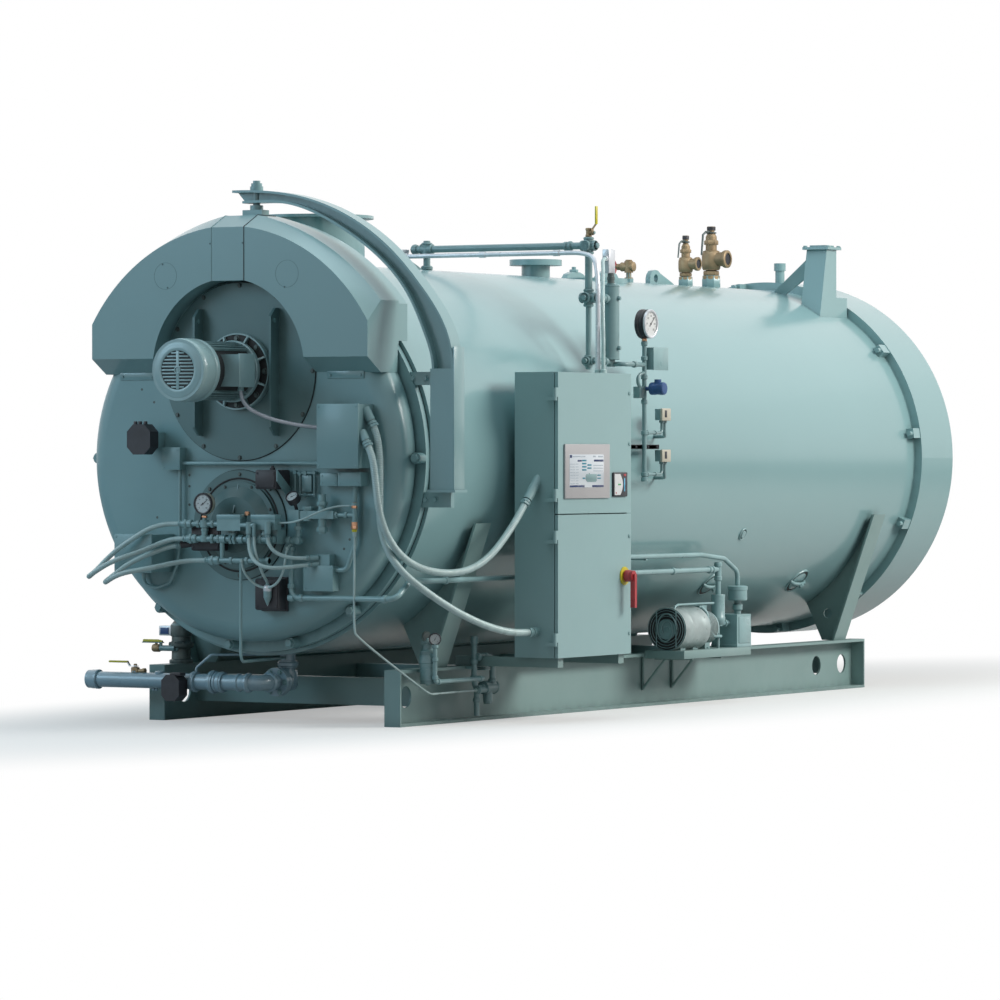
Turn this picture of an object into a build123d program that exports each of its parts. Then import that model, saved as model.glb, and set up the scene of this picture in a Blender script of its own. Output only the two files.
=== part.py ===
from build123d import *
import math
import os

# Packaged horizontal firetube boiler on a two-rail skid, in millimetres.
# +X is the side with the control cabinet, +Y runs to the rear, +Z is up.
# Origin: floor level, on the boiler centreline, at the front end of the rails.

os.makedirs("parts", exist_ok=True)

# Shell
SHELL_R = 1068.0
SHELL_WALL = 60.0
AXIS_Z = 1441.5
SHELL_Y0 = -60.0
SHELL_Y1 = 5782.0
TOP_Z = AXIS_Z + SHELL_R
SEAT = 0.3

# Front end, sized from the shell
FLANGE_R = SHELL_R - 21.0
FLANGE_Y0 = -127.0
FLANGE_Y1 = -86.0
HEAD_R = SHELL_R - 78.0
KNUCKLE = 105.0
HEAD_FLAT_R = HEAD_R - KNUCKLE
HEAD_Y = -320.0
HEAD_BACK_Y = -141.0
HEAD_TOP = AXIS_Z + HEAD_R

# Rear end
REAR_R = SHELL_R + 52.0
REAR_WALL = 70.0
REAR_Y1 = 6210.0
DOOR_T = 30.0

# Skid
RAIL_X0 = 709.0
RAIL_W = 100.0
RAIL_X1 = RAIL_X0 + RAIL_W
RAIL_H = 305.0
RAIL_LEN = 5600.0
WEB_T = 12.0
RAIL_FLANGE_T = 16.0
END_T = 12.0
LIGHTENING_R = 59.0

# Air hood, heights measured from the top of the front head
HOOD_Y = -448.0
HOOD_BEVEL_Y = -313.0
HOOD_BACK_Y = -132.0
HOOD_BAND_Y = -20.0
HOOD_BAND_INSET = 14.0
HOOD_HALF_W = HEAD_R - 110.0
HOOD_FLAT = 104.0
HOOD_FRONT = {
    "low": HEAD_TOP - 452.5,
    "shoulder": HEAD_TOP - 264.5,
    "haunch": (592.0, HEAD_TOP + 54.5),
    "top": HEAD_TOP + 247.5,
}
HOOD_OUTER = {
    "low": HEAD_TOP - 534.5,
    "shoulder": HEAD_TOP - 152.5,
    "haunch": (600.0, HEAD_TOP + 104.5),
    "top": HEAD_TOP + 314.5,
}
ARCH_HALF_W = 480.0
ARCH_HAUNCH = (300.0, HEAD_TOP - 133.5)
ARCH_TOP = HEAD_TOP - 39.5

# Fan and burner
FAN_Z = HEAD_TOP - 524.5
FAN_R = 478.0
FAN_T = 9.0
MOTOR_R = 140.0
COVER_R = 163.0
COVER_Y0 = -925.0
BURNER_Z = 1083.0
BURNER_R = 295.0

# Control cabinet
CAB_X0 = SHELL_R + 45.0
CAB_DEEP = 271.0
CAB_X1 = CAB_X0 + CAB_DEEP
CAB_Y0 = 697.0
CAB_Y1 = 1515.0
CAB_Z0 = 358.0
CAB_Z1 = 1909.0
CAB_WALL = 8.0
CAB_SPLIT = 1137.0
DOOR_THICK = 19.0
DOOR_GAP = 5.0


def bar(x0, x1, y0, y1, z0, z1):
    centre = Pos((x0 + x1) / 2, (y0 + y1) / 2, (z0 + z1) / 2)
    return centre * Box(x1 - x0, y1 - y0, z1 - z0)


def rod(axis, at, radius, start, end):
    """Cylinder along one axis; `at` holds the two other coordinates in x, y, z order."""
    mid = (start + end) / 2
    length = abs(end - start)
    if axis == "x":
        return Pos(mid, at[0], at[1]) * Rot(0, 90, 0) * Cylinder(radius, length)
    if axis == "y":
        return Pos(at[0], mid, at[1]) * Rot(90, 0, 0) * Cylinder(radius, length)
    return Pos(at[0], at[1], mid) * Cylinder(radius, length)


def strut(start, end, radius):
    """Straight round bar between two points."""
    along = Vector(*end) - Vector(*start)
    plane = Plane(origin=start, z_dir=along)
    return extrude(plane * Circle(radius), along.length)


def pipe(points, radius, bend):
    """Round pipe through the points with one bend radius at every corner."""
    path = FilletPolyline(*points, radius=bend)
    along = Vector(*points[1]) - Vector(*points[0])
    section = Plane(origin=points[0], z_dir=along) * Circle(radius)
    return sweep(section, path=path)


def plate_xz(points, y0, y1):
    """Flat plate from an outline in x and z, between two y values."""
    outline = make_face(Polyline(*[(x, y0, z) for x, z in points], close=True))
    return extrude(outline, y1 - y0, dir=(0, 1, 0))


def plate_yz(points, x0, x1):
    """Flat plate from an outline in y and z, between two x values."""
    outline = make_face(Polyline(*[(x0, y, z) for y, z in points], close=True))
    return extrude(outline, x1 - x0, dir=(1, 0, 0))


def shell_bulk(gap=SEAT):
    """Space taken by the jacket, for seating things on it."""
    return rod("y", (0, AXIS_Z), SHELL_R + gap, SHELL_Y0, SHELL_Y1)


def seated(shape):
    return shape - shell_bulk()


def shell_x(z):
    return math.sqrt(SHELL_R ** 2 - (z - AXIS_Z) ** 2)


def around(angle, radius, y):
    """Place a shape at a polar position about the boiler axis, its +X pointing outward."""
    return Pos(0, y, AXIS_Z) * Rot(0, -angle, 0) * Pos(radius, 0, 0)


def save(name, *pieces):
    shape = pieces[0] if len(pieces) == 1 else Compound(children=list(pieces))
    export_step(shape, "parts/" + name + ".step")


# Skid rails and saddles

HOLE_FROM_END = 150.0
HOLE_PITCH = 345.0
FRONT_HOLE_Y = 200.0


def rail(side):
    """Channel with the web inboard and both ends closed by flat plates."""
    top = RAIL_H - RAIL_FLANGE_T
    body = bar(RAIL_X0, RAIL_X0 + WEB_T, 0, RAIL_LEN, 0, RAIL_H)
    body += [
        bar(RAIL_X0, RAIL_X1, 0, RAIL_LEN, 0, RAIL_FLANGE_T),
        bar(RAIL_X0, RAIL_X1, 0, RAIL_LEN, top, RAIL_H),
        bar(RAIL_X0, RAIL_X1, 0, END_T, 0, RAIL_H),
        bar(RAIL_X0, RAIL_X1, RAIL_LEN - END_T, RAIL_LEN, 0, RAIL_H),
    ]
    rear_hole = RAIL_LEN - HOLE_FROM_END
    for y in (FRONT_HOLE_Y, rear_hole - HOLE_PITCH, rear_hole):
        body -= rod("x", (y, RAIL_H / 2), LIGHTENING_R, RAIL_X0 - 1, RAIL_X0 + WEB_T + 1)
    return body if side > 0 else mirror(body, about=Plane.YZ)


SADDLE_W = 160.0
SADDLE_TOP_Z = 1090.0
SADDLE_PLATE = 14.0
SADDLE_FRONT_Y = 370.0
SADDLE_REAR_Y = RAIL_LEN - 380.0
SADDLE_TAPER = 270.0
SADDLE_HOLE_R = 30.0
CROSS_W = 90.0
CROSS_Z0 = 95.0
CROSS_Z1 = 245.0
CROSS_T = 10.0
CROSS_END = 270.0
CROSS_Y = [330.0 + (RAIL_LEN - CROSS_END - 330.0) * i / 3 for i in range(4)]


def cross_member(y):
    body = bar(-RAIL_X0, RAIL_X0, y, y + CROSS_T, CROSS_Z0, CROSS_Z1)
    for z in (CROSS_Z0, CROSS_Z1 - CROSS_T):
        body += bar(-RAIL_X0, RAIL_X0, y, y + CROSS_W, z, z + CROSS_T)
    return body


def saddle(y):
    """Tapered web plates up from each rail to the shell, each with a slanted outer bar."""
    x_top = shell_x(SADDLE_TOP_Z) + 40
    mid = y + SADDLE_W / 2
    pieces = []
    for side in (1, -1):
        foot = RAIL_X0 + 60
        outline = [
            (side * (RAIL_X0 - 45), RAIL_H),
            (side * foot, RAIL_H),
            (side * x_top, SADDLE_TOP_Z),
            (side * (RAIL_X0 - 170), SADDLE_TOP_Z),
            (side * (RAIL_X0 - 170), RAIL_H + SADDLE_TAPER),
        ]
        web = plate_xz(outline, mid - SADDLE_PLATE / 2, mid + SADDLE_PLATE / 2)
        web -= rod("y", (side * (RAIL_X0 - 4), RAIL_H + 166), SADDLE_HOLE_R, mid - 20, mid + 20)
        slant = plate_xz(
            [
                (side * foot, RAIL_H),
                (side * (foot + SADDLE_PLATE), RAIL_H),
                (side * (x_top + SADDLE_PLATE), SADDLE_TOP_Z),
                (side * x_top, SADDLE_TOP_Z),
            ],
            y,
            y + SADDLE_W,
        )
        pieces.append(seated(web + slant))
    return pieces


save("skid_rails", rail(1), rail(-1))
save("cross_members", *[cross_member(y) for y in CROSS_Y])
save("saddles", *saddle(SADDLE_FRONT_Y), *saddle(SADDLE_REAR_Y))


# Pressure shell and its two ends


def ring(outer, inner, y0, y1):
    return rod("y", (0, AXIS_Z), outer, y0, y1) - rod("y", (0, AXIS_Z), inner, y0 - 1, y1 + 1)


def head_bulk(gap=0.0):
    """Dished front head: flat face, rounded knuckle, straight rim."""
    r0 = HEAD_FLAT_R + gap
    r1 = HEAD_R + gap
    knee = math.sqrt(0.5)
    mid_r = r0 + KNUCKLE * knee
    mid_y = HEAD_Y + KNUCKLE * (1 - knee)
    rim_y = HEAD_Y + KNUCKLE
    profile = Polyline((0, HEAD_Y, 0), (r0, HEAD_Y, 0))
    profile += ThreePointArc((r0, HEAD_Y, 0), (mid_r, mid_y, 0), (r1, rim_y, 0))
    profile += Polyline((r1, rim_y, 0), (r1, HEAD_BACK_Y, 0), (0, HEAD_BACK_Y, 0), (0, HEAD_Y, 0))
    return Pos(0, 0, AXIS_Z) * revolve(make_face(profile), Axis.Y)


save("shell_jacket", ring(SHELL_R, SHELL_R - SHELL_WALL, SHELL_Y0, SHELL_Y1))

front_flange = rod("y", (0, AXIS_Z), FLANGE_R, FLANGE_Y0, FLANGE_Y1)
front_flange += [
    rod("y", (0, AXIS_Z), HEAD_R - 30, HEAD_BACK_Y, FLANGE_Y0),
    rod("y", (0, AXIS_Z), FLANGE_R - 20, FLANGE_Y1, SHELL_Y0),
]
save("front_flange", front_flange)
save("front_head", head_bulk())
save("rear_ring", ring(REAR_R, REAR_R - REAR_WALL, SHELL_Y1, REAR_Y1))

rear_door = rod("y", (0, AXIS_Z), REAR_R - 4, REAR_Y1, REAR_Y1 + DOOR_T)
rear_door += rod("y", (0, AXIS_Z), 640, REAR_Y1 + DOOR_T, REAR_Y1 + DOOR_T + 22)
save("rear_door", rear_door)

REAR_CLAMPS = 12
CLAMP_ANGLE0 = 8.0
CLAMP_W = 62.0
CLAMP_LEN = 92.0


def rear_clamp(angle):
    """Block and bolt that pull the rear ring up to the jacket."""
    rise = REAR_R - SHELL_R - 4
    block = around(angle, SHELL_R + rise / 2, SHELL_Y1 - CLAMP_LEN / 2) * Box(rise, CLAMP_LEN, CLAMP_W)
    bolt = Rot(90, 0, 0) * Cylinder(15, CLAMP_LEN + 34)
    block += around(angle, SHELL_R + rise / 2 + 6, SHELL_Y1 - CLAMP_LEN / 2 - 17) * bolt
    return seated(block)


HEAD_CLAMP_ANGLES = (0, -53, -77, -99, -127, 180)
HEAD_CLAMP_R = 30.0


def head_clamp(angle):
    boss = around(angle, FLANGE_R - 27, FLANGE_Y0 - 32) * Rot(90, 0, 0) * Cylinder(HEAD_CLAMP_R, 64)
    return boss - head_bulk(SEAT)


clamps = [rear_clamp(CLAMP_ANGLE0 + 360 / REAR_CLAMPS * i) for i in range(REAR_CLAMPS)]
save("end_clamps", *clamps, *[head_clamp(angle) for angle in HEAD_CLAMP_ANGLES])


def shell_port(y, angle, radius, rise):
    """Round cover on the side of the shell with a raised middle."""
    turned = Rot(0, 90, 0)
    port = around(angle, SHELL_R + rise / 2 - 10, y) * turned * Cylinder(radius, rise + 20)
    port += around(angle, SHELL_R + rise + 9, y) * turned * Cylinder(radius * 0.62, 20)
    return seated(port)


save(
    "shell_ports",
    shell_port(4768.0, -45, 92, 30),
    shell_port(3618.0, -44.6, 92, 30),
    shell_port(3644.0, -25, 42, 34),
)


# Air hood over the upper half of the front head


def hood_outline(size, inset=0.0):
    """Closed horseshoe outline; the sides stay upright and the top is arched."""
    half = HOOD_HALF_W - inset
    top = size["top"] - inset
    shoulder = size["shoulder"] - inset
    haunch = (size["haunch"][0] - inset * 0.7, size["haunch"][1] - inset * 0.7)
    lines = []
    for s in (1, -1):
        lines += [
            ThreePointArc(
                (s * HOOD_FLAT, 0, top), (s * haunch[0], 0, haunch[1]), (s * half, 0, shoulder)
            ),
            Line((s * half, 0, shoulder), (s * half, 0, size["low"])),
            Line((s * half, 0, size["low"]), (s * ARCH_HALF_W, 0, size["low"])),
        ]
        if size["low"] < HOOD_FRONT["low"]:
            lines.append(Line((s * ARCH_HALF_W, 0, size["low"]), (s * ARCH_HALF_W, 0, HOOD_FRONT["low"])))
        lines.append(
            ThreePointArc(
                (s * ARCH_HALF_W, 0, HOOD_FRONT["low"]),
                (s * ARCH_HAUNCH[0], 0, ARCH_HAUNCH[1]),
                (s * HOOD_FLAT, 0, ARCH_TOP),
            )
        )
    lines.append(Line((-HOOD_FLAT, 0, top), (HOOD_FLAT, 0, top)))
    lines.append(Line((-HOOD_FLAT, 0, ARCH_TOP), (HOOD_FLAT, 0, ARCH_TOP)))
    return make_face(Wire(lines))


def hood_bevel():
    """Arched top and leg bottoms slope back from the smaller front face."""
    block = extrude(Pos(0, HOOD_Y, 0) * hood_outline(HOOD_OUTER), HOOD_BEVEL_Y - HOOD_Y, dir=(0, 1, 0))
    rings = []
    for y, size in ((HOOD_Y, HOOD_FRONT), (HOOD_BEVEL_Y, HOOD_OUTER)):
        lines = [Line((-HOOD_FLAT, y, size["top"]), (HOOD_FLAT, y, size["top"]))]
        for s in (1, -1):
            lines.append(
                ThreePointArc(
                    (s * HOOD_FLAT, y, size["top"]),
                    (s * size["haunch"][0], y, size["haunch"][1]),
                    (s * HOOD_HALF_W, y, size["shoulder"]),
                )
            )
            lines.append(
                Line((s * HOOD_HALF_W, y, size["shoulder"]), (s * HOOD_HALF_W, y, size["low"]))
            )
        lines.append(Line((-HOOD_HALF_W, y, size["low"]), (HOOD_HALF_W, y, size["low"])))
        rings.append(make_face(Wire(lines)))
    return block & loft(rings, ruled=True)


def hood():
    outer = Pos(0, HOOD_BEVEL_Y, 0) * hood_outline(HOOD_OUTER)
    band = Pos(0, HOOD_BACK_Y, 0) * hood_outline(HOOD_OUTER, HOOD_BAND_INSET)
    whole = hood_bevel()
    whole += extrude(outer, HOOD_BACK_Y - HOOD_BEVEL_Y, dir=(0, 1, 0))
    whole += extrude(band, HOOD_BAND_Y - HOOD_BACK_Y, dir=(0, 1, 0))
    whole -= head_bulk(SEAT)
    whole -= rod("y", (0, AXIS_Z), SHELL_R + SEAT, HEAD_BACK_Y - 1, HOOD_BAND_Y + 1)
    return whole


save("air_hood", hood())


# Forced-draught fan: round cover plate, ribs and motor

RIB_X = 244.0
RIB_DEEP = 80.0
RIB_T = 14.0
RIB_CORNER = 45.0
RIB_LOW = FAN_Z - 345
RIB_HIGH = FAN_Z + 338
FAN_FACE = HEAD_Y - FAN_T
fan_plate = rod("y", (0, FAN_Z), FAN_R, FAN_FACE, HEAD_Y)
rib_front = FAN_FACE - RIB_DEEP
rib_outline = [
    (FAN_FACE, RIB_LOW),
    (rib_front + RIB_CORNER, RIB_LOW),
    (rib_front, RIB_LOW + RIB_CORNER),
    (rib_front, RIB_HIGH - RIB_CORNER),
    (rib_front + RIB_CORNER, RIB_HIGH),
    (FAN_FACE, RIB_HIGH),
]
for side in (1, -1):
    fan_plate += plate_yz(rib_outline, side * RIB_X - RIB_T / 2, side * RIB_X + RIB_T / 2)
save("fan_plate", fan_plate)

MOTOR_FLANGE_R = 205.0
MOTOR_FLANGE_T = 26.0
TERMINAL = (110.0, 230.0, -690.0, -548.0, FAN_Z - 85, FAN_Z + 85)
fan_motor = rod("y", (0, FAN_Z), MOTOR_FLANGE_R, FAN_FACE - MOTOR_FLANGE_T, FAN_FACE)
fan_motor += [
    rod("y", (0, FAN_Z), MOTOR_R, COVER_Y0 + 120, FAN_FACE - MOTOR_FLANGE_T),
    rod("y", (0, FAN_Z), COVER_R, COVER_Y0, COVER_Y0 + 150),
    bar(*TERMINAL),
]
save("fan_motor", fan_motor)


# Burner plate with its shallow dome and fin

PLATE_Y = HEAD_Y - 10
STEP_Y = PLATE_Y - 14
DOME_R = 206.0
DOME_TOP_R = 150.0
DOME_Y = STEP_Y - 40
burner_plate = rod("y", (0, BURNER_Z), BURNER_R, PLATE_Y, HEAD_Y)
burner_plate += rod("y", (0, BURNER_Z), BURNER_R - 60, STEP_Y, PLATE_Y)
burner_plate += Pos(0, (STEP_Y + DOME_Y) / 2, BURNER_Z) * Rot(90, 0, 0) * Cone(DOME_R, DOME_TOP_R, STEP_Y - DOME_Y)
fin_top = BURNER_Z + DOME_R + 15
burner_plate += plate_yz([(STEP_Y, fin_top), (DOME_Y - 15, BURNER_Z + 65), (STEP_Y, BURNER_Z + 65)], -4, 4)
save("burner_plate", burner_plate)


# Pipes and valve heads in front of the burner

PIPE_Y = -500.0
UPPER_Z = 1089.0
LOWER_Z = 1010.0
THIRD_Z = 895.0
TEE_X = -112.0
BLOCK_FRONT = -470.0
HOSE_END_UPPER = -250.0
HOSE_END_LOWER = -220.0
HOSE_END_THIRD = -80.0
GAUGE_R = 57.0
GAUGE_Z = 1198.0
TUBE_A_X = 118.0
GAS_Y = -150.0
GAS_Z = 225.0
GAS_R = 43.0
RISER_Y = 150.0
TUBE_Z = 355.0

burner_piping = bar(-28, 330, BLOCK_FRONT, DOME_Y, 985, 1060)
burner_piping += [
    rod("x", (PIPE_Y, UPPER_Z), 14, HOSE_END_UPPER, -2),
    rod("x", (PIPE_Y, UPPER_Z), 22, HOSE_END_UPPER, HOSE_END_UPPER + 55),
    rod("x", (PIPE_Y, LOWER_Z), 16, HOSE_END_LOWER, 330),
    rod("x", (PIPE_Y, LOWER_Z), 23, HOSE_END_LOWER, HOSE_END_LOWER + 55),
    rod("x", (PIPE_Y, LOWER_Z), 24, -8, 26),
    rod("x", (PIPE_Y, LOWER_Z), 24, 110, 136),
    rod("x", (PIPE_Y, THIRD_Z), 14, HOSE_END_THIRD, 300),
    rod("x", (PIPE_Y, THIRD_Z), 22, HOSE_END_THIRD, HOSE_END_THIRD + 60),
    rod("z", (TEE_X, PIPE_Y), 17, LOWER_Z, UPPER_Z + 24),
    rod("z", (TEE_X, PIPE_Y), 9, UPPER_Z, GAUGE_Z - GAUGE_R - SEAT),
    rod("z", (200, PIPE_Y), 13, THIRD_Z, LOWER_Z),
    rod("z", (0, PIPE_Y), 13, THIRD_Z, LOWER_Z),
]
for x in (72, 268):
    burner_piping += rod("y", (x, LOWER_Z), 15, PIPE_Y, BLOCK_FRONT)
    burner_piping += rod("z", (x, PIPE_Y), 14, LOWER_Z, 1055)
riser_side = Vector(TUBE_A_X, PIPE_Y - RISER_Y).normalized() * (GAS_R + SEAT)
tube_end = (riser_side.X, RISER_Y + riser_side.Y, TUBE_Z)
burner_piping += pipe(
    [(TUBE_A_X, PIPE_Y, THIRD_Z), (TUBE_A_X, PIPE_Y, TUBE_Z), tube_end], 8, 45
)
save("burner_piping", burner_piping)

ELBOW_Y = -540.0
VALVE_TOP = 1137.0
head_one = bar(-2, 146, -550, -486, 1055, VALVE_TOP)
head_one += [
    rod("x", (ELBOW_Y, 1085), 12, 146, 226),
    rod("z", (196, ELBOW_Y), 17, 1040, 1102),
    rod("z", (228, ELBOW_Y), 10, 1040, 1096),
]
head_two = bar(192, 345, -516, -460, 1060, VALVE_TOP)
head_two += [
    rod("y", (312, 1090), 12, -537, -516),
    rod("z", (312, -537), 17, 1041, 1104),
]
PLUG_X = 244.0
PLUG_Y = -432.0
plug = rod("z", (PLUG_X, PLUG_Y - SEAT), 22, 700, 756)
plug += Pos(PLUG_X, PLUG_Y - SEAT, 678) * Cone(3, 22, 44)
save("valve_heads", head_one, head_two, plug)


# Black actuators and the linkage beside the burner

GLAND_FROM = (-200.0, -425.0, 990.0)
GLAND_TO = (-285.0, -473.0, 975.0)
drawer_motor = bar(-224, -34, BLOCK_FRONT, DOME_Y, 944, 1078)
drawer_motor += strut(GLAND_FROM, GLAND_TO, 20)
damper_motor = bar(187, 324, -470, PLATE_Y, 1276, 1380)
low_motor = bar(145, 302, -410, HEAD_Y, 629, 799)
side_motor = bar(-623, -472, -490, -410, 1461, 1625)
gas_motor = bar(-545, -430, -276, GAS_Y - GAS_R - SEAT, 122, 264)
LINK_Y = -348.0
linkage = rod("z", (366, LINK_Y), 6, 1225, 1376)
linkage += [
    rod("z", (396, LINK_Y), 6, 1240, 1368),
    rod("z", (486, LINK_Y), 6, 1235, 1374),
    rod("x", (LINK_Y, 1362), 6, 366, 486),
    rod("x", (LINK_Y, 1246), 6, 366, 486),
    rod("y", (366, 1362), 9, LINK_Y, HEAD_Y),
    rod("y", (486, 1362), 9, LINK_Y, HEAD_Y),
]
save("actuators", drawer_motor, damper_motor, low_motor, side_motor, gas_motor, linkage)

damper_bracket = plate_yz([(-470, 1380), (HEAD_Y, 1270), (HEAD_Y, 1195), (-470, 1320)], 324, 330)
side_bracket = bar(-560, -490, -410, HEAD_Y, 1500, 1580)
save("actuator_brackets", damper_bracket, side_bracket)


# Pilot gas train to the right of the burner

PILOT_Y = -385.0
PILOT_END_X = 760.0
CABLE_END_X = 742.0
pilot = bar(365, 430, -415, HEAD_Y, 1100, 1166)
pilot += [
    bar(430, 643, PILOT_Y - 25, PILOT_Y + 25, 1120, 1162),
    rod("z", (558, PILOT_Y), 21, 1041, 1249),
    rod("z", (470, PILOT_Y), 27, 1108, 1172),
    rod("x", (PILOT_Y, 1141), 10, 640, PILOT_END_X),
    rod("z", (PILOT_END_X, PILOT_Y), 11, 1062, 1206),
    rod("x", (PILOT_Y, 1190), 9, CABLE_END_X, PILOT_END_X),
    rod("z", (PILOT_END_X, PILOT_Y), 15, 1068, 1108),
    rod("z", (PILOT_END_X, PILOT_Y), 15, 1176, 1206),
]
pilot += pipe([(410, PILOT_Y, 1101), (410, PILOT_Y, 1002), (330, PILOT_Y, 1002)], 15, 40)
save("pilot_train", pilot)


# Gauges

MANIFOLD_X = 1160.0
MANIFOLD_Y = 2078.0
MANIFOLD_TOP = 2110.0
STEAM_GAUGE_R = 80.0
STEAM_GAUGE_Z = MANIFOLD_TOP + STEAM_GAUGE_R + 10
burner_gauge = rod("y", (TEE_X, GAUGE_Z), GAUGE_R, PIPE_Y - 17, PIPE_Y + 17)
pilot_gauge = Pos(398, -418, 1226) * Rot(50, 0, 0) * Cylinder(36, 32)
pilot_gauge += strut((398, -385, 1166), (398, -412, 1220), 9)
pilot_gauge -= bar(360, 440, -440, HEAD_Y, 1100, 1166)
steam_gauge = rod("x", (MANIFOLD_Y, STEAM_GAUGE_Z), STEAM_GAUGE_R, MANIFOLD_X - 20, MANIFOLD_X + 40)
steam_gauge += rod("z", (MANIFOLD_X, MANIFOLD_Y), 8, MANIFOLD_TOP, MANIFOLD_TOP + 20)
save("gauges", burner_gauge, pilot_gauge, steam_gauge)


# Boxes and rigid conduits on the front head

JBOX = (581.0, 836.0, HEAD_Y - 150, HEAD_Y, 1389.0, 1727.0)
JBOX_X1 = JBOX[1]
TUBE_BOX_X = 520.0
LOW_BOX_TOP = 870.0
junction_box = bar(*JBOX)


def wall_gland(end, before, radius, axis, wall):
    """Round fitting from a wall to a conduit's end, in line with the conduit's last run."""
    along = (Vector(*end) - Vector(*before)).normalized()
    part = ("x", "y").index(axis)
    reach = (wall - end[part]) / tuple(along)[part]
    return strut(end, tuple(Vector(*end) + along * reach), radius)


UPPER_ROUTE = [
    (862, -435, 1533), (890, -440, 1487), (916, -447, 1420), (930, -447, 1320), (937, -438, 1210),
    (946, -414, 1110), (968, -378, 1015), (998, -308, 927), (1036, -210, 867), (1078, -100, 836),
    (1122, 45, 827), (1158, 178, 851), (1187, 306, 914), (1210, 421, 1010), (1229, 528, 1120),
    (1240, 612, 1216),
]
LOWER_ROUTE = [
    (866, -390, 1640), (892, -388, 1590), (909, -385, 1520), (917, -384, 1430), (920, -388, 1320),
    (918, -388, 1210), (911, -370, 1100), (916, -342, 1000), (962, -336, 908), (1028, -304, 821),
    (1092, -210, 738), (1150, -70, 652), (1185, 90, 587), (1215, 255, 536), (1236, 420, 506),
    (1244, 555, 498), (1247, 650, 499),
]
TUBE_ONE_END = ((470, -432, 872), (500, -402, 877))
TUBE_TWO_END = ((462, -440, 910), (496, -410, 911))
junction_box += wall_gland(UPPER_ROUTE[0], UPPER_ROUTE[1], 25, "x", JBOX_X1 - 4)
junction_box += wall_gland(LOWER_ROUTE[0], LOWER_ROUTE[1], 25, "x", JBOX_X1 - 4)
left_box = bar(-465, -353, HEAD_Y - 60, HEAD_Y, 1380, 1498)
deep_box = bar(-667, -428, -540, HEAD_Y, 826, 1030)
low_box = bar(440, 622, -380, HEAD_Y, 736, LOW_BOX_TOP)
low_box += bar(TUBE_BOX_X, 600, -378, HEAD_Y, LOW_BOX_TOP, 930)
for before, end in (TUBE_ONE_END, TUBE_TWO_END):
    low_box += wall_gland(end, before, 14, "x", TUBE_BOX_X + 10)
small_box = bar(546, 648, HEAD_Y - 60, HEAD_Y, 1296, 1360)
wide_box = bar(665, 805, HEAD_Y - 75, HEAD_Y, 1296, 1367)
save("front_boxes", junction_box, left_box, deep_box, low_box, small_box, wide_box)

CONDUIT_Y = -350.0
across = rod("x", (CONDUIT_Y, 1414), 10, -353, JBOX[0])
down = pipe(
    [
        (-372, CONDUIT_Y, 1380), (-372, CONDUIT_Y, 1000), (-388, CONDUIT_Y, 870), (-436, CONDUIT_Y, 768),
        (-520, CONDUIT_Y, 738), (-608, CONDUIT_Y, 755), (-608, CONDUIT_Y, 826),
    ],
    9,
    45,
)
ribbed = pipe([(622, CONDUIT_Y, 848), (690, CONDUIT_Y, 848), (742, CONDUIT_Y, 985), (742, CONDUIT_Y, 1296)], 13, 40)
save("front_conduits", across, down, ribbed)


# Flexible hoses and conduits: straight runs joined by tangent arcs


def cord(name, points, diameter):
    corners = [Vector(*p) for p in points]
    radii = []
    for a, b, c in zip(corners, corners[1:], corners[2:]):
        shorter = min((b - a).length, (c - b).length)
        half_turn = math.radians((b - a).get_angle(c - b)) / 2
        radii.append(0.45 * shorter / math.tan(half_turn))
    path = FilletPolyline(*points, radius=radii)
    section = Plane(origin=points[0], z_dir=corners[1] - corners[0]) * Circle(diameter / 2)
    tube = sweep(section, path=path)
    expected = math.pi * diameter ** 2 / 4 * path.length
    print(name, "length", round(path.length), "radii", [round(r) for r in radii])
    print(name, "volume over section times length", round(tube.volume / expected, 4))
    save(name, tube)


HOSE_D = 28.0
CONDUIT_D = 40.0
MOTOR_CONDUIT_D = 24.0
TUBE_D = 22.0
CABLE_D = 11.0

HOSE_UPPER = [
    (HOSE_END_UPPER, PIPE_Y, UPPER_Z), (-310, PIPE_Y, UPPER_Z), (-370, -518, 1086), (-441, -556, 1061),
    (-523, -584, 1007), (-612, -598, 950), (-678, -608, 894), (-716, -624, 850), (-734, -654, 820),
    (-730, -692, 805), (-708, -728, 806), (-670, -754, 820), (-622, -768, 843), (-566, -768, 872),
    (-510, -745, 900), (-468, -700, 920), (-436, -645, 938), (-404, -588, 962), (-366, -536, 988),
    (-318, -506, 1006), (-268, PIPE_Y, LOWER_Z), (HOSE_END_LOWER, PIPE_Y, LOWER_Z),
]
HOSE_LOWER = [
    GLAND_TO, (-336, -501.8, 966), (-385, -540, 944), (-432, -583, 920), (-490, -610, 891),
    (-543, -625, 860), (-588, -641, 824), (-614, -666, 797), (-614, -702, 780), (-594, -738, 776),
    (-560, -768, 784), (-516, -787, 802), (-468, -793, 820), (-416, -784, 834), (-362, -752, 845),
    (-318, -702, 856), (-287, -643, 868), (-260, -588, 879), (-224, -540, 888), (-176, -508, 894),
    (-126, PIPE_Y, THIRD_Z), (HOSE_END_THIRD, PIPE_Y, THIRD_Z),
]
MOTOR_ROUTE = [
    (190, -610, TERMINAL[4]), (190, -610, 1780), (202, -603, 1741), (228, -590, 1706), (272, -568, 1677),
    (330, -530, 1650), (404, -482, 1628), (470, -436, 1614), (530, -404, 1605), (JBOX[0], -404, 1605),
]
VALVE_TUBE_ONE = [
    (196, ELBOW_Y, 1040), (196, ELBOW_Y, 1003), (204, -550, 965), (224, -566, 928), (254, -577, 895),
    (296, -577, 870), (342, -560, 860), (388, -524, 860), (430, -480, 865), *TUBE_ONE_END,
]
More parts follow.
